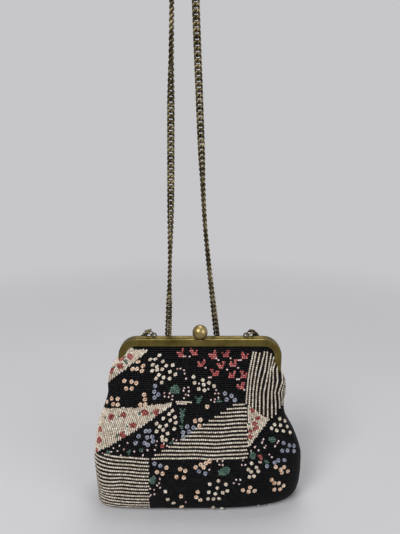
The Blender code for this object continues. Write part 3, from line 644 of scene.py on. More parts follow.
DOTS = (
    (177.4, 368.9), (180.5, 368.7), (184, 370.2), (184.5, 373.5), (186.1, 378.6),
    (184.3, 388.1), (188.4, 387.3), (183.5, 390.6), (188.9, 391.4), (185.8, 394.4),
    (188.4, 395.2), (184, 398), (164.4, 392.9), (169.7, 393.2), (164.6, 396.5), (168.7, 397),
    (172.6, 396), (172.3, 399.5), (208.3, 389.1), (199.1, 383.5), (216.2, 390.1),
    (215.2, 393.4), (218.5, 393.4), (218.5, 397.5), (211.1, 399.8), (215.2, 399.3),
    (214.4, 401.8), (173.6, 438.9), (176.5, 440.3), (156, 445.1), (157.1, 441.1),
    (164.1, 443.6), (167, 445.8), (154.9, 449.9), (160, 478.8), (159.3, 482.8), (160, 487.6),
    (150.1, 488.7), (154.2, 489.4), (150.9, 494.9), (154.5, 494.2), (157.1, 485.4),
    (217.2, 460.9), (222.7, 460.9), (219.4, 464.5), (222.7, 464.9), (185.7, 501.9),
    (209.5, 469.6), (236, 479.6), (240.3, 479.6), (233.7, 482.8), (239.1, 483.9),
    (242.6, 460.1), (246.3, 459.8), (241.7, 464.7), (245.4, 464.7), (255.2, 446.3),
    (264.4, 447.5), (258.6, 450.3), (269.2, 454.4), (271.8, 457.2), (259.2, 462.1),
    (260.9, 462.1), (262.6, 441.1), (274.7, 446.3), (278.7, 441.1), (258.6, 504.9),
    (269, 505.4), (127.7, 442.8), (119.6, 445.7), (113.7, 447.9), (111.5, 451.6),
    (117.4, 450.8), (124, 449.4), (121.1, 455.2), (134.3, 451.6), (147.5, 450.1),
    (143.1, 455.2), (102.7, 453), (100.5, 456), (254.6, 447.2), (250.9, 450.8), (263.4, 439.1),
    (261.9, 442.8), (275.1, 445.7), (277.3, 442.8), (265.6, 445.7),
)
# across, down, half width, half height, turn
LEAVES = (
    (175.1, 389.6, 4.8, 4.4, 0), (219, 401.3, 2.9, 1.9, 0), (196.6, 398.4, 1.2, 3.2, -0.5),
    (200, 398.4, 1.2, 3.2, 0.5), (198.2, 401.4, 2.8, 1.3, 0), (181, 411.5, 1, 3.4, -0.3),
    (184, 411.5, 1, 3.4, 0.3), (182.4, 416, 2, 3, 0), (182.4, 421.3, 1.7, 2.8, 0),
    (182, 427.1, 1.9, 2, 0), (172.1, 443.3, 2.6, 2.2, 0), (153.1, 479.9, 2.9, 4.4, 0.3),
    (224, 471.2, 6.2, 4, -0.45), (252.3, 455.5, 3.3, 3.2, 0), (266.1, 461.5, 2.2, 1.8, 0.3),
    (272.2, 439.8, 3.8, 3.4, 0), (108.6, 452.3, 2.3, 2.4, 0), (129.1, 452.3, 2.2, 2.2, 0),
    (141.3, 450.5, 2.3, 2.1, 0), (126.3, 361.6, 1.7, 1.9, 0),
)
print("petals, buds, dots and leaves:",
      [len(t) for t in (CREAM_PETALS, PEACH_PETALS, BLUE_PETALS, RED_FLOWERS, BUDS, DOTS, LEAVES)])

# %% Names for the colours
COLOURS = ("black", "cream", "peach", "red", "rose", "green", "blue", "pink")
BLACK, CREAM, PEACH, RED, ROSE, GREEN, BLUE, PINK = range(len(COLOURS))
print("colours:", len(COLOURS))

# %% [markdown]
# ## Petals and dots
# A petal on cloth like this is a loop of four or five beads drawn tight round one stitch, so
# it shows a dark middle, and a dot is one bead by itself. Colouring beads of the level rows
# would make them blocks. So each loop is laid on the surface where the camera sees its petal,
# and the black beads under it are left out.

# %% Find a pixel's place on the surface
# Below this share, the surface is turned too far from the camera for a pixel to be found on it.
LEAST_FACING = 0.3
OUT_OF_SIGHT = 1e6
SMALL_STEP = 0.0001


def facing_camera(places, out):
    """How squarely each place faces the camera, from 1 for straight on to 0 for edge on."""
    sight = np.array(CAMERA_PLACE) - places
    sight /= np.linalg.norm(sight, axis=-1, keepdims=True)
    return (sight * out).sum(axis=-1)


surface_pixels = to_photo(surface.reshape(-1, 3)).reshape(len(surface), TURNS + 1, 2)
surface_pixels[facing_camera(surface, outward) < LEAST_FACING] = OUT_OF_SIGHT


def on_surface(pixel):
    """Where the camera sees a pixel on the bag: place, outward, and two directions along it."""
    away = ((surface_pixels - pixel) ** 2).sum(axis=2)
    row, turn = np.unravel_index(np.argmin(away), away.shape)
    ways = np.stack([across[row, turn], upward[row, turn]])
    ways /= np.linalg.norm(ways, axis=1, keepdims=True)
    seen = surface_pixels[row, turn]
    moves = (to_photo(surface[row, turn] + ways * SMALL_STEP) - seen) / SMALL_STEP
    place = surface[row, turn] + np.linalg.solve(moves.T, pixel - seen) @ ways
    return place, outward[row, turn], ways


print("a pixel of the middle stripes lies at", on_surface(np.array(LOWEST_STRIPE))[0].round(4))

# %% Lay the petals and dots
PETAL_TURN = 0.37
PETAL_RAISE = 0.00035
ROOM_ROUND_BEAD = 0.0012
# pixels, colour, beads in each loop
LOOP_KINDS = (
    (CREAM_PETALS, CREAM, 4),
    (PEACH_PETALS, PEACH, 5),
    (BLUE_PETALS, BLUE, 5),
    (DOTS, PINK, 1),
)


def lay_loop(pixel, count, number):
    """A loop of beads end to end; a loop of one is a single bead on the surface."""
    place, out, ways = on_surface(np.array(pixel))
    ring = BEAD_LENGTH * count / math.tau if count > 1 else 0.0
    angle = math.tau * (np.arange(count) / count + PETAL_TURN * number)
    spokes = np.cos(angle)[:, None] * ways[0] + np.sin(angle)[:, None] * ways[1]
    along = np.cos(angle)[:, None] * ways[1] - np.sin(angle)[:, None] * ways[0]
    places = place + spokes * ring + out * (PETAL_RAISE if count > 1 else 0.0)
    places[:, 2] = np.maximum(places[:, 2], BAG_ROWS[0, 0])
    laid = [places, np.tile(out, (count, 1)), along, np.full((count, 1), number)]
    return np.hstack(laid), place, ring + ROOM_ROUND_BEAD


loops = []
loop_colour = []
loop_middles = []
loop_rooms = []
for wanted, tint, count in LOOP_KINDS:
    for number, pixel in enumerate(wanted):
        if in_any(np.array([pixel]), LEVEL_STRIPES + UPRIGHT_STRIPES + UPRIGHT_CREAM)[0]:
            continue
        laid, middle, room = lay_loop(pixel, count, number)
        loops.append(laid)
        loop_colour += [tint] * count
        loop_middles.append(middle)
        loop_rooms.append(room)
loop_beads = np.vstack(loops)
print("loops and dots:", len(loops), "beads:", len(loop_beads))

# %% The rule for a bead's colour
# A red flower is an oval with this half width in pixels, and a larger one left of the limit.
RED_SIZE = 2.5
LARGE_RED_SIZE = 3.3
LARGE_RED_LIMIT = 160
RED_HEIGHT_SHARE = 0.95
# Pixels across and down from a flower's middle, half width, half height; buds add a turn.
SPRIG = (-5.2, 0.9, 1.1, 1.1)
BUD_OVALS = ((-0.4, 1.6, 3.4, 2.1, 0), (1.9, -1.6, 1.5, 3.1, 0.25), (-2.7, -0.4, 1.2, 2.1, -0.5))
BUD_TIP = (4.4, 4.2, 1.9, 0.9, 0.5)


def oval(points, x, y, half_width, half_height, turn=0.0):
    dx, dy = points[:, 0] - x, points[:, 1] - y
    along = dx * math.cos(turn) + dy * math.sin(turn)
    aside = dy * math.cos(turn) - dx * math.sin(turn)
    return (along / half_width) ** 2 + (aside / half_height) ** 2 < 1


def bud_part(points, x, y, side, part):
    """Whether each point lies in one oval of a bud, which opens to the right or left."""
    dx, dy, half_width, half_height, turn = part
    return oval(points, x + dx * side, y + dy, half_width, half_height, turn * side)


def pattern(points, numbers, facing):
    """The colour of each bead, from its pixel, its row's number and how it faces the camera."""
    colour = np.full(len(points), BLACK)
    cream = in_any(points, CREAM_PATCHES)
    colour[cream] = CREAM
    for leaf in LEAVES:
        colour[oval(points, *leaf)] = GREEN
    for x, y in RED_FLOWERS:
        size = LARGE_RED_SIZE if x < LARGE_RED_LIMIT else RED_SIZE
        colour[oval(points, x + SPRIG[0], y + SPRIG[1], *SPRIG[2:]) & cream] = GREEN
        colour[oval(points, x, y, size, size * RED_HEIGHT_SHARE)] = RED
    for k, (x, y) in enumerate(BUDS):
        side = -1 if k % 3 == 1 else 1
        for part in BUD_OVALS:
            colour[bud_part(points, x, y, side, part)] = ROSE
        colour[bud_part(points, x, y, side, BUD_TIP) & ~cream] = PINK
    turned_away = facing < LEAST_FACING
    colour[turned_away] = np.where(cream, CREAM, BLACK)[turned_away]
    striped = in_any(points, LEVEL_STRIPES)
    colour[striped] = np.where(numbers[striped] % 2 == 0, CREAM, BLACK)
    return colour


def coloured(laid, pixels):
    """The pattern's colour of beads that are laid level or upright."""
    return pattern(pixels, laid[:, ROW_NUMBER], facing_camera(laid[:, :3], laid[:, 3:6]))


# %% Give each bead its colour
level_pixels, upright_pixels, column_pixels = (
    to_photo(laid[:, :3]) for laid in (level_beads, upright_beads, column_beads)
)
level_kept = ~in_any(level_pixels, UPRIGHT_STRIPES + UPRIGHT_CREAM)
in_stripes = in_any(level_pixels, LEVEL_STRIPES)
for middle, room in zip(loop_middles, loop_rooms):
    level_kept &= in_stripes | (np.linalg.norm(level_beads[:, :3] - middle, axis=1) > room)
upright_kept = in_any(upright_pixels, UPRIGHT_STRIPES)
upright_kept &= ~in_any(upright_pixels, UPRIGHT_CREAM)
column_kept = in_any(column_pixels, UPRIGHT_CREAM)
level_colour = coloured(level_beads, level_pixels)[level_kept]
column_colour = coloured(column_beads, column_pixels)[column_kept]
upright_colour = np.where(upright_beads[:, ROW_NUMBER] % 2 == 0, CREAM, BLACK)
above = upright_pixels[:, 1] < np.interp(upright_pixels[:, 0], STRIPE_TOPS_ACROSS, STRIPE_TOPS)
upright_colour[above] = BLACK
row_beads = [level_beads[level_kept], upright_beads[upright_kept], column_beads[column_kept]]
beads = np.vstack([*row_beads, loop_beads])
bead_colour = np.concatenate([level_colour, upright_colour[upright_kept], column_colour, loop_colour])
print("beads on one side:", len(beads))
print({name: int((bead_colour == k).sum()) for k, name in enumerate(COLOURS)})

# %% [markdown]
# ## Glass for the beads
# Seed beads are opaque glass: a strong plain colour under a clear shine. No bead is quite
# like the next, because strings from different lots are mixed; the lightest and darkest
# glasses of each family go further than that, as painted highlight and painted shade
# between beads. A noise texture would blur across beads that are smaller than its grain,
# so each colour is a family of three glasses, dealt out bead by bead.

# %% Bead glass
# Each family's lighter and darker glasses are partly lot-to-lot colour and partly painted highlight and
# painted shade between beads.
GLASS = {
    "black": ((0.002, 0.002, 0.0025), (0.004, 0.004, 0.005), (0.008, 0.0075, 0.009)),
    "cream": ((0.72, 0.63, 0.51), (0.54, 0.45, 0.35), (0.84, 0.78, 0.68)),
    "peach": ((0.72, 0.50, 0.36), (0.84, 0.68, 0.54), (0.50, 0.29, 0.18)),
    "red": ((0.34, 0.08, 0.07), (0.44, 0.14, 0.12), (0.20, 0.04, 0.035)),
    "rose": ((0.46, 0.10, 0.10), (0.60, 0.20, 0.18), (0.22, 0.04, 0.045)),
    "green": ((0.07, 0.14, 0.105), (0.12, 0.20, 0.155), (0.035, 0.08, 0.055)),
    "blue": ((0.25, 0.27, 0.34), (0.36, 0.38, 0.45), (0.14, 0.16, 0.21)),
    "pink": ((0.76, 0.55, 0.52), (0.86, 0.70, 0.67), (0.52, 0.32, 0.31)),
}
SHINE = 0.35
BLACK_SHINE = 0.12
ROUGHNESS = 0.28
ROUGHNESS_STEP = 0.05
glass_materials = []
for colour_name, shades in GLASS.items():
    for k, shade in enumerate(shades):
        made, nodes, links = new_material(f"bead_glass_{colour_name}_{k + 1}")
        shine = BLACK_SHINE if colour_name == "black" else SHINE
        roughness = ROUGHNESS + ROUGHNESS_STEP * k
        set_shader(nodes, Base_Color=shade, Roughness=roughness, Specular_IOR_Level=shine)
        glass_materials.append(made)
print("glasses:", len(glass_materials))

# %% [markdown]
# ## One bead, then thousands
# A seed bead is a short cut of glass tube with its edges melted round, and a hole along its
# middle. It starts from a cone operator with equal ends; its sides are cut once round the
# middle and swelled, and the centres of its ends are pushed in where the thread goes. It has
# only a few dozen faces, because about 22,000 copies follow.

# %% Model the bead
BEAD_SIDES = 8
# The radius of the melted ends, and how far out the hole's bottom stays, as shares.
MELTED_END = 0.68
HOLE_BOTTOM = 0.45
bm = bmesh.new()
bmesh.ops.create_cone(
    bm,
    cap_ends=True,
    cap_tris=True,
    segments=BEAD_SIDES,
    radius1=BEAD_RADIUS * MELTED_END,
    radius2=BEAD_RADIUS * MELTED_END,
    depth=BEAD_LENGTH,
)
sides = [e for e in bm.edges if abs(e.verts[0].co.z - e.verts[1].co.z) > BEAD_LENGTH / 2]
bmesh.ops.subdivide_edges(bm, edges=sides, cuts=1)
belly = [v for v in bm.verts if abs(v.co.z) < BEAD_LENGTH / 10]
bmesh.ops.scale(bm, verts=belly, vec=(1 / MELTED_END, 1 / MELTED_END, 1))
for centre in [v for v in bm.verts if v.co.xy.length < BEAD_RADIUS / 10]:
    centre.co.z *= HOLE_BOTTOM
bmesh.ops.triangulate(bm, faces=bm.faces)
bead_shape = bpy.data.meshes.new("bead")
bm.to_mesh(bead_shape)
bm.free()
print("one bead:", len(bead_shape.vertices), "points,", len(bead_shape.polygons), "triangles")

# %% Copy a small shape to many places
def copy_to_places(name, shape, turns, places, slots, materials, sharp=60):
    """One mesh that holds a copy of the shape at each place, turned by its own axes."""
    corners = np.array([v.co for v in shape.vertices])
    faces = np.array([face.vertices for face in shape.polygons])
    count, width = len(places), faces.shape[1]
    moved = np.einsum("vk,nkj->nvj", corners, turns) + places[:, None]
    indices = faces[None] + (np.arange(count) * len(corners))[:, None, None]
    mesh = bpy.data.meshes.new(name)
    mesh.vertices.add(count * len(corners))
    mesh.vertices.foreach_set("co", moved.ravel().astype(np.float32))
    mesh.loops.add(indices.size)
    mesh.loops.foreach_set("vertex_index", indices.ravel().astype(np.int32))
    mesh.polygons.add(count * len(faces))
    mesh.polygons.foreach_set("loop_start", np.arange(0, indices.size, width, dtype=np.int32))
    mesh.update(calc_edges=True)
    for material in materials:
        mesh.materials.append(material)
    mesh.polygons.foreach_set("material_index", np.repeat(slots, len(faces)).astype(np.int32))
    mesh.shade_smooth()
    mesh.set_sharp_from_angle(angle=math.radians(sharp))
    made = bpy.data.objects.new(name, mesh)
    bpy.context.scene.collection.objects.link(made)
    return made


# %% Sew the beads on
LOOSENESS = 0.10
PLACE_PLAY = 0.00005
SHADE_SHARES = (0.55, 0.3, 0.15)
BANDS = 4
SEED = 11
chance = np.random.default_rng(SEED)


def bead_axes(along, out):
    """Three axes for each bead: across, outward and along its hole, with a little play."""
    along = along / np.linalg.norm(along, axis=1, keepdims=True)
    along = along + chance.normal(0, LOOSENESS, along.shape)
    along /= np.linalg.norm(along, axis=1, keepdims=True)
    side = np.cross(out, along)
    side /= np.linalg.norm(side, axis=1, keepdims=True)
    return np.stack([side, np.cross(along, side), along], axis=1)


def sew(name, placed, colours, mirrored):
    """The beads of one side, in bands from the base up, each band one piece."""
    places = placed[:, :3] + chance.normal(0, PLACE_PLAY, (len(placed), 3))
    axes = bead_axes(placed[:, 6:9], placed[:, 3:6])
    if mirrored:
        places = places * (1, -1, 1)
        axes = axes * (1, -1, 1)
        axes[:, 0] *= -1
    # Dealt at random: the lighter and darker glasses stand partly for painted highlight and painted
    # shade.
    dealt = chance.choice(len(SHADE_SHARES), len(colours), p=SHADE_SHARES)
    shades = colours * len(SHADE_SHARES) + dealt
    order = np.argsort(placed[:, 2], kind="stable")
    made = []
    for k, band in enumerate(np.array_split(order, BANDS)):
        used, slots = np.unique(shades[band], return_inverse=True)
        materials = [glass_materials[shade] for shade in used]
        piece = f"{name}_beads_{k + 1}"
        made.append(copy_to_places(piece, bead_shape, axes[band], places[band], slots, materials))
    return made


front_beads = sew("front", beads, bead_colour, False)
rear_beads = sew("rear", beads, bead_colour, True)
for band in front_beads:
    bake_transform(band)
for band in rear_beads:
    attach(band, ROOT)
print("triangles in beads:", sum(map(count_triangles, front_beads + rear_beads)))

# %% [markdown]
# ## The cloth under the beads and the lining
# Between the beads a dark ground cloth shows, and when the purse is open, an ivory lining.
# Both follow the bag's own surface a little further in. A grid operator gives the sheet its
# faces, each point is moved to its place on the surface, and Solidify gives it a wall.

# %% Cloth and satin
# A wave texture's bands are this far apart at a scale of 1.
BAND_AT_SCALE_ONE = 0.314
WAVE_DISTORTION = 0.6
FIBRE_ROUGHNESS = 0.4


def woven(name, base, other, thread, bump, roughness, sheen):
    """A plain weave: two wave textures across each other on the cloth's own UV map."""
    made, nodes, links = new_material(name)
    shader = set_shader(nodes, Roughness=roughness, Sheen_Weight=sheen, Sheen_Roughness=FIBRE_ROUGHNESS)
    place = nodes.new("ShaderNodeUVMap")
    place.uv_map = "cloth"
    height = nodes.new("ShaderNodeMath")
    height.operation = "MULTIPLY"
    for k, direction in enumerate(("X", "Y")):
        wave = nodes.new("ShaderNodeTexWave")
        wave.bands_direction = direction
        wave.inputs["Scale"].default_value = BAND_AT_SCALE_ONE / thread
        wave.inputs["Distortion"].default_value = WAVE_DISTORTION
        links.new(place.outputs["UV"], wave.inputs["Vector"])
        links.new(wave.outputs["Fac"], height.inputs[k])
    mix = nodes.new("ShaderNodeMix")
    mix.data_type = "RGBA"
    mix.inputs["A"].default_value = (*base, 1)
    mix.inputs["B"].default_value = (*other, 1)
    links.new(height.outputs[0], mix.inputs["Factor"])
    links.new(mix.outputs["Result"], shader.inputs["Base Color"])
    relief = nodes.new("ShaderNodeBump")
    relief.inputs["Strength"].default_value = bump
    relief.inputs["Distance"].default_value = thread
    links.new(height.outputs[0], relief.inputs["Height"])
    links.new(relief.outputs["Normal"], shader.inputs["Normal"])
    return made


ground_cloth = woven("ground_cloth", (0.006, 0.006, 0.008), (0.016, 0.015, 0.018), 0.0004, 0.5, 0.9, 0.1)
satin = woven("ivory_satin", (0.60, 0.49, 0.34), (0.74, 0.64, 0.48), 0.0003, 0.15, 0.38, 0.3)
print("woven materials:", ground_cloth.name, satin.name)

# %% Sheets that follow the bag
CLOTH_WIDTH = 0.22
CLOTH_DEPTH = BEAD_RADIUS * 0.8
CLOTH_WALL = 0.0006
CLOTH_ROWS = (0, 18)
SATIN_DEPTH = 0.0026
SATIN_WALL = 0.0005
SATIN_ROWS = (1, 17)
SATIN_FOLDS = 0.0008
FOLDS_ACROSS = 60
FOLDS_UP = 9
# A sheet stays this far in front of the side seams, and this far above the floor.
SEAM_GAP = 0.0002
FLOOR_GAP = 0.0004
# A lining is gathered in between the legs of the frame: its reach at two heights.
GATHER_HEIGHTS = (0.118, 0.1325)
GATHER_REACHES = (0.092, 0.0725)
# Every second point of the surface is enough for a sheet.
SHEET_STEP = 2


def shell(name, depth, ends, mirrored, material, wall, folds=0.0):
    """A sheet at a depth below the bead surface, between two rows of the table.

    A sheet with folds is a lining."""
    first, last = (row * SAMPLES_BETWEEN_ROWS for row in ends)
    rows = np.arange(first, last + 1, SHEET_STEP)
    columns = np.arange(0, TURNS + 1, SHEET_STEP)
    bm = bmesh.new()
    bmesh.ops.create_grid(bm, x_segments=len(columns) - 1, y_segments=len(rows) - 1, size=1)
    layer = bm.loops.layers.uv.new("cloth")
    for face in bm.faces:
        for loop in face.loops:
            share_x, share_y = (loop.vert.co.xy + Vector((1, 1))) / 2
            loop[layer].uv = (share_x * CLOTH_WIDTH, share_y * row_length[rows[-1]])
    for v in bm.verts:
        c = columns[round((v.co.x + 1) / 2 * (len(columns) - 1))]
        r = rows[round((v.co.y + 1) / 2 * (len(rows) - 1))]
        wave = math.sin(c / TURNS * FOLDS_ACROSS) * math.sin(r / len(surface) * FOLDS_UP)
        point = surface[r, c] - outward[r, c] * (depth + folds * abs(wave))
        point[1] = min(point[1], -SEAM_GAP)
        point[2] = max(point[2], FLOOR_GAP)
        if folds:
            reach = np.interp(point[2], GATHER_HEIGHTS, GATHER_REACHES)
            point[0] = min(max(point[0], -reach), reach)
        v.co = point * (1, -1, 1) if mirrored else point
    if mirrored:
        bmesh.ops.reverse_faces(bm, faces=bm.faces)
    made = finish_piece(bm, name, [material])
    return apply_modifier(made, "SOLIDIFY", thickness=wall, offset=-1)


front_cloth, rear_cloth = (
    shell(f"{side}_cloth", CLOTH_DEPTH, CLOTH_ROWS, side == "rear", ground_cloth, CLOTH_WALL)
    for side in ("front", "rear")
)
front_lining, rear_lining = (
    shell(f"{side}_satin", SATIN_DEPTH, SATIN_ROWS, side == "rear", satin, SATIN_WALL, SATIN_FOLDS)
    for side in ("front", "rear")
)
for piece, slot_name in ((front_cloth, "beaded_cloth"), (front_lining, "ivory_satin")):
    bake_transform(piece)
for piece, slot_name in ((rear_cloth, "beaded_cloth"), (rear_lining, "ivory_satin")):
    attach(piece, ROOT)
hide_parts("front_panel_lower", "front_panel_upper")
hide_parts("rear_panel")
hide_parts("front_lining_lower", "front_lining_upper")
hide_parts("rear_lining")
sheets = (front_cloth, rear_cloth, front_lining, rear_lining)
print("triangles in cloth and lining:", [count_triangles(sheet) for sheet in sheets])

# %% [markdown]
# ## Aged brass
# The frame, clasp and chain are brass that has browned with age and is rubbed bright where
# hands touch it. Two layers of noise on Object coordinates, a broad one for the patina and a
# fine one for tiny scratches, drive the colour, the roughness and a slight bump.

# %% Metals
PATINA_SCALE = 90
PATINA_DETAIL = 6
SCRATCH_SCALE = 900
SCRATCH_DETAIL = 3
SCRATCH_STRENGTH = 0.12
SCRATCH_DEPTH = 0.0002
DULLER = 0.12
SHINIER = 0.08


def brass(name, dark, bright, amount, roughness, spread=0.14):
    """Brass from a dark patina to a bright rub, half and half at an amount of the noise."""
    made, nodes, links = new_material(name)
    shader = set_shader(nodes, Metallic=1.0)
    place = nodes.new("ShaderNodeTexCoord")
    broad = nodes.new("ShaderNodeTexNoise")
    broad.inputs["Scale"].default_value = PATINA_SCALE
    broad.inputs["Detail"].default_value = PATINA_DETAIL
    fine = nodes.new("ShaderNodeTexNoise")
    fine.inputs["Scale"].default_value = SCRATCH_SCALE
    fine.inputs["Detail"].default_value = SCRATCH_DETAIL
    for texture in (broad, fine):
        links.new(place.outputs["Object"], texture.inputs["Vector"])
    ramp = nodes.new("ShaderNodeValToRGB")
    stops = ((amount - spread, dark), (amount + spread, bright))
    for element, (position, colour) in zip(ramp.color_ramp.elements, stops):
        element.position = position
        element.color = (*colour, 1)
    links.new(broad.outputs["Fac"], ramp.inputs["Fac"])
    links.new(ramp.outputs["Color"], shader.inputs["Base Color"])
    dull = nodes.new("ShaderNodeMapRange")
    dull.inputs["To Min"].default_value = roughness + DULLER
    dull.inputs["To Max"].default_value = roughness - SHINIER
    links.new(broad.outputs["Fac"], dull.inputs["Value"])
    links.new(dull.outputs["Result"], shader.inputs["Roughness"])
    relief = nodes.new("ShaderNodeBump")
    relief.inputs["Strength"].default_value = SCRATCH_STRENGTH
    relief.inputs["Distance"].default_value = SCRATCH_DEPTH
    links.new(fine.outputs["Fac"], relief.inputs["Height"])
    links.new(relief.outputs["Normal"], shader.inputs["Normal"])
    return made


frame_brass = brass("aged_frame_brass", (0.075, 0.056, 0.013), (0.19, 0.145, 0.045), 0.5, 0.30, 0.24)
ball_brass = brass("rubbed_clasp_brass", (0.21, 0.15, 0.055), (0.40, 0.31, 0.14), 0.5, 0.34, 0.2)
chain_bronze = brass("browned_chain_brass", (0.06, 0.047, 0.022), (0.27, 0.215, 0.115), 0.56, 0.32)
AGED_NODES = (
    "front_frame_half",
    "rear_frame_half",
    "chain_ear_left",
    "chain_ear_right",
    "jump_ring_left",
    "jump_ring_right",
)
RUBBED_NODES = ("hinge_rivet_left", "hinge_rivet_right")
for node_names, metal in ((AGED_NODES, frame_brass), (RUBBED_NODES, ball_brass)):
    for node_name in node_names:
        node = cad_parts[node_name]
        node.data.materials.clear()
        node.data.materials.append(metal)

# %% [markdown]
# ## The clasp: a ball and a knob
# The two balls are turned parts: a ball on a thin neck with a small collar. A half outline
# spun once round the upright axis gives exactly a turned part. The front ball is large; the
# rear one is small and hides behind it, and they snap past each other when the purse shuts.

# %% Turn the clasp balls
TURNED_STEPS = 40
TURNED_EDGE_ANGLE = 40
BALL_RINGS = 18
MERGE_DISTANCE = 1e-6
# As shares of the ball's radius: the neck's radius and how far down the neck reaches.
NECK_SHARE = 0.21
FOOT_SHARE = 1.04
# The collar's outline, as shares of the neck's radius: how wide, and how far below the ball.
COLLAR = ((1.7, 0.2), (1.7, 0.5), (1, 0.7))


def order_faces(bm):
    """List the faces by their points, because a spin lists them in a new order each run."""
    bm.verts.index_update()
    count = len(bm.verts)
    points = {face: [v.index for v in face.verts] for face in bm.faces}
    bm.faces.sort(key=lambda face: min(points[face]) * count + max(points[face]))


def turned(name, outline, place, material):
    """A half outline of (radius, height), spun round the upright axis at a place."""
    bm = bmesh.new()
    line = [bm.verts.new((radius, 0, height)) for radius, height in outline]
    edges = [bm.edges.new(pair) for pair in zip(line, line[1:])]
    bmesh.ops.spin(
        bm,
        geom=line + edges,
        cent=(0, 0, 0),
        axis=(0, 0, 1),
        angle=2 * math.pi,
        steps=TURNED_STEPS,
        use_merge=True,
    )
    bmesh.ops.remove_doubles(bm, verts=bm.verts, dist=MERGE_DISTANCE)
    bmesh.ops.recalc_face_normals(bm, faces=bm.faces)
    bmesh.ops.translate(bm, verts=bm.verts, vec=place)
    order_faces(bm)
    return finish_piece(bm, name, [material], TURNED_EDGE_ANGLE)


def ball_outline(radius, neck, foot):
    """A ball centred on zero, with a flared collar and a neck that reaches down to a foot."""
    turn = math.asin(neck * 1.5 / radius)
    ball = []
    for k in range(BALL_RINGS + 1):
        angle = math.pi / 2 - (math.pi - turn) * k / BALL_RINGS
        ball.append((radius * math.cos(angle) if k else 0, radius * math.sin(angle)))
    low = ball[-1][1]
    collar = [(neck * wide, low - neck * down) for wide, down in COLLAR]
    return ball + collar + [(neck, foot), (0, foot)]


for name, body in (("clasp_ball", FRONT_BODY), ("clasp_knob", ROOT)):
    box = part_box(name)
    radius = (box[1][0] - box[0][0]) / 2
    centre = (0, (box[0][1] + box[1][1]) / 2, box[1][2] - radius)
    outline = ball_outline(radius, radius * NECK_SHARE, -radius * FOOT_SHARE)
    made = turned(f"{name}_turned", outline, centre, ball_brass)
    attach(made, body)
    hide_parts(name)
    print(name, "radius", round(radius * 1000, 2), "mm at", [round(v, 4) for v in centre])

# %% [markdown]
# ## The curb chain
# A curb chain's links are ovals of wire, twisted a quarter turn, so that each one passes
# through the next and all lie flat. One link is spun as a ring, drawn out to an oval and
# twisted; then copies follow the same route as the solid chain, 4.77 mm apart, which is the
# pitch measured in the photograph. A hanging chain also turns slowly about itself, so its two
# strands show their edge in places.

# %% The chain's route, in metres
CHAIN_ROUTE = np.array(
    [
        (-0.0509, 0.0056, 0.1825), (-0.0531, 0.0086, 0.1806), (-0.0553, 0.0110, 0.1776),
        (-0.0582, 0.0124, 0.1730), (-0.0613, 0.0138, 0.1670), (-0.0638, 0.0164, 0.1560),
        (-0.0648, 0.0205, 0.1400), (-0.0608, 0.0238, 0.1260), (-0.0495, 0.0258, 0.1190),
        (-0.0382, 0.0245, 0.1260), (-0.0342, 0.0208, 0.1400), (-0.0334, 0.0162, 0.1560),
        (-0.0327, 0.0128, 0.1730), (-0.0310, 0.0112, 0.2080), (-0.0277, 0.0110, 0.3040),
        (-0.0258, 0.0110, 0.4010), (-0.0236, 0.0110, 0.4900), (-0.0260, 0.0110, 0.5020),
        (-0.0256, 0.0110, 0.5120), (-0.0207, 0.0110, 0.5200), (-0.0137, 0.0110, 0.5225),
        (-0.0067, 0.0110, 0.5200), (-0.0018, 0.0110, 0.5120), (-0.0014, 0.0110, 0.5020),
        (-0.0038, 0.0110, 0.4900), (-0.0005, 0.0110, 0.4010), (0.0037, 0.0110, 0.3040),
        (0.0076, 0.0110, 0.2580), (0.0132, 0.0112, 0.2080), (0.0172, 0.0128, 0.1730),
        (0.0180, 0.0162, 0.1560), (0.0196, 0.0208, 0.1400), (0.0252, 0.0248, 0.1260),
        (0.0400, 0.0268, 0.1175), (0.0560, 0.0245, 0.1250), (0.0632, 0.0205, 0.1400),
        (0.0638, 0.0164, 0.1560), (0.0613, 0.0138, 0.1670), (0.0582, 0.0124, 0.1730),
        (0.0553, 0.0110, 0.1776), (0.0531, 0.0086, 0.1806), (0.0509, 0.0056, 0.1825),
    ]
)
ROUTE_STEPS = 12
LINK_PITCH = 0.00477
LINK_WIDTH = 0.0073
LINK_WIRE = 0.0022
# How far the chain has turned about itself at some points of its route, in degrees.
ROLL_POINTS = (
    0, 2, 4, 11, 12, 13.05, 13.27, 13.53, 13.8, 14.1, 14.3, 14.9, 15.1, 15.35, 15.9, 18,
    24, 24.9, 25.3, 25.5, 25.7, 26, 26.5, 27, 27.5, 28, 29, 31, 37, 39, 41,
)
ROLLS = (
    -62, -58, 0, 0, 18, 45, 80, 88, 60, 20, 8, 12, 45, 75, 85, 10,
    5, 4, 15, 35, 65, 75, 78, 70, 65, 50, 25, 0, 0, -58, -62,
)
chain_line = smooth_rows(CHAIN_ROUTE, ROUTE_STEPS)
step_lengths = np.linalg.norm(np.diff(chain_line, axis=0), axis=1)
chain_steps = np.concatenate([[0], np.cumsum(step_lengths)])
chain_length = float(chain_steps[-1])
link_count = int(chain_length / LINK_PITCH)
pitch = chain_length / link_count
print("chain:", link_count, "links,", round(chain_length, 4), "m long")

# %% Bend one link
WIRE_SIDES = 6
LINK_BENDS = 14
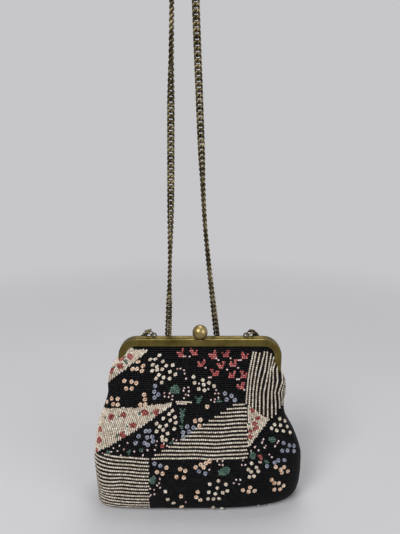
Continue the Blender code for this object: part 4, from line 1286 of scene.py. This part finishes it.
# Below 1, a link's oval is a little squared.
LINK_ROUNDNESS = 0.85
LINK_TWIST = math.radians(45)
bm = bmesh.new()
half_length = (pitch + LINK_WIRE) / 2
half_width = (LINK_WIDTH - LINK_WIRE) / 2
upright = Matrix.Rotation(math.pi / 2, 4, "X")
bmesh.ops.create_circle(
    bm,
    segments=WIRE_SIDES,
    radius=LINK_WIRE / 2,
    matrix=Matrix.Translation((half_length, 0, 0)) @ upright,
)
bmesh.ops.spin(
    bm,
    geom=bm.verts[:] + bm.edges[:],
    cent=(0, 0, 0),
    axis=(0, 0, 1),
    angle=2 * math.pi,
    steps=LINK_BENDS,
    use_merge=True,
)
bmesh.ops.remove_doubles(bm, verts=bm.verts, dist=MERGE_DISTANCE)
bmesh.ops.recalc_face_normals(bm, faces=bm.faces)
order_faces(bm)
for v in bm.verts:
    angle = math.atan2(v.co.y, v.co.x)
    proud = v.co.xy.length - half_length
    shares = (math.cos(angle), math.sin(angle))
    normal = Vector((shares[0] * half_width, shares[1] * half_length, 0)).normalized()
    squared = [math.copysign(abs(share) ** LINK_ROUNDNESS, share) for share in shares]
    centre = Vector((squared[0] * half_length, squared[1] * half_width, 0))
    flat = centre + normal * proud
    twist = Matrix.Rotation(LINK_TWIST * centre.x / half_length, 3, "X")
    v.co = twist @ Vector((flat.x, flat.y, v.co.z))
link_shape = bpy.data.meshes.new("link")
bm.to_mesh(link_shape)
bm.free()
print("one link:", len(link_shape.polygons), "faces")

# %% Hang the chain
LINK_EDGE_ANGLE = 70
middles = (np.arange(link_count) + 0.5) * pitch
at = np.interp(middles, chain_steps, np.arange(len(chain_line)))
link_places = pick(chain_line, at)
link_along = pick(np.gradient(chain_line, axis=0), at)
link_along /= np.linalg.norm(link_along, axis=1, keepdims=True)
depth_axis = np.array([0.0, 1.0, 0.0]) - link_along * link_along[:, 1:2]
depth_axis /= np.linalg.norm(depth_axis, axis=1, keepdims=True)
flat_axis = np.cross(depth_axis, link_along)
roll = np.radians(np.interp(at / ROUTE_STEPS, ROLL_POINTS, ROLLS))[:, None]
link_axes = np.stack(
    [
        link_along,
        flat_axis * np.cos(roll) + depth_axis * np.sin(roll),
        depth_axis * np.cos(roll) - flat_axis * np.sin(roll),
    ],
    axis=1,
)
one_metal = np.zeros(link_count, int)
chain = copy_to_places(
    "curb_chain", link_shape, link_axes, link_places, one_metal, [chain_bronze], LINK_EDGE_ANGLE
)
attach(chain, ROOT)
chain_nodes = (
    "chain_left_slack",
    "chain_left_strand",
    "chain_top_loop",
    "chain_right_strand",
    "chain_right_slack",
)
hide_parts(*chain_nodes)
print("chain triangles:", count_triangles(chain))

# %% [markdown]
# ## Packing twine and the slip pocket
# A frame like this holds its cloth by a paper twine pressed into each channel. It is seen
# only from below, but it is there. The pocket is a small satin square on the rear lining.

# %% Paper twine's material
TWIST_SCALE = 260
TWINE_ROUGHNESS = 0.85
twine, nodes, links = new_material("paper_twine")
shader = set_shader(nodes, Roughness=TWINE_ROUGHNESS)
place = nodes.new("ShaderNodeTexCoord")
strands = nodes.new("ShaderNodeTexWave")
strands.bands_direction = "DIAGONAL"
strands.inputs["Scale"].default_value = TWIST_SCALE
links.new(place.outputs["Object"], strands.inputs["Vector"])
tint = nodes.new("ShaderNodeValToRGB")
tint.color_ramp.elements[0].color = (0.30, 0.21, 0.12, 1)
tint.color_ramp.elements[1].color = (0.48, 0.36, 0.22, 1)
links.new(strands.outputs["Fac"], tint.inputs["Fac"])
links.new(tint.outputs["Color"], shader.inputs["Base Color"])
print("twine:", twine.name)

# %% Press the twine into both channels
# Each run goes up one leg, round a bend, along the top and down the other leg.
TWINE_BEND = 0.0156
BEND_STEPS = 8
for side_name, body in (("front", FRONT_BODY), ("rear", ROOT)):
    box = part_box(f"packing_cord_{side_name}")
    radius = (box[1][1] - box[0][1]) / 2
    middle = (box[1][1] + box[0][1]) / 2
    reach, top = box[1][0] - radius, box[1][2] - radius
    right = [(reach, box[0][2])]
    for k in range(BEND_STEPS + 1):
        angle = math.pi / 2 * k / BEND_STEPS
        x = reach - TWINE_BEND + TWINE_BEND * math.cos(angle)
        right.append((x, top - TWINE_BEND + TWINE_BEND * math.sin(angle)))
    line = right + [(-x, z) for x, z in reversed(right)]
    curve = bpy.data.curves.new(f"{side_name}_twine", "CURVE")
    curve.dimensions = "3D"
    spline = curve.splines.new("POLY")
    spline.points.add(len(line) - 1)
    for corner, (x, z) in zip(spline.points, line):
        corner.co = (x, middle, z, 1)
    curve.bevel_depth = radius
    curve.bevel_resolution = 2
    curve.use_fill_caps = True
    curve.materials.append(twine)
    made = bpy.data.objects.new(f"{side_name}_twine", curve)
    bpy.context.scene.collection.objects.link(made)
    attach(made, body)
    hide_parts(f"packing_cord_{side_name}")
    print(side_name, "twine:", round(2 * radius * 1000, 2), "mm thick")

# %% Slip pocket
# How far inside the bead surface the pocket lies, and how far its open edge stands away.
POCKET_DEPTH = 0.0040
POCKET_SLACK = 0.0008
POCKET_COLUMNS = 24
POCKET_ROWS = 16
pocket_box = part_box("slip_pocket")
bm = bmesh.new()
bmesh.ops.create_grid(bm, x_segments=POCKET_COLUMNS, y_segments=POCKET_ROWS, size=1)
layer = bm.loops.layers.uv.new("cloth")
for v in bm.verts:
    x = pocket_box[1][0] * v.co.x
    z = pocket_box[0][2] + (v.co.y + 1) / 2 * (pocket_box[1][2] - pocket_box[0][2])
    row = int(np.argmin(np.abs(heights - z)))
    line = surface[row]
    y = np.interp(x, line[:, 0], line[:, 1])
    slack = POCKET_SLACK * (v.co.y + 1) * (1 - v.co.x**2)
    v.co = (x, -y - POCKET_DEPTH - slack, z)
for face in bm.faces:
    for loop in face.loops:
        loop[layer].uv = (loop.vert.co.x, loop.vert.co.z)
pocket = finish_piece(bm, "slip_pocket_satin", [satin])
apply_modifier(pocket, "SOLIDIFY", thickness=SATIN_WALL, offset=0)
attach(pocket, ROOT)
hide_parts("slip_pocket")
print("pocket triangles:", count_triangles(pocket))

# %% [markdown]
# ## Finish
# The dressed purse has to stay about the size of the solids.

# %% Finish
bpy.context.view_layer.update()
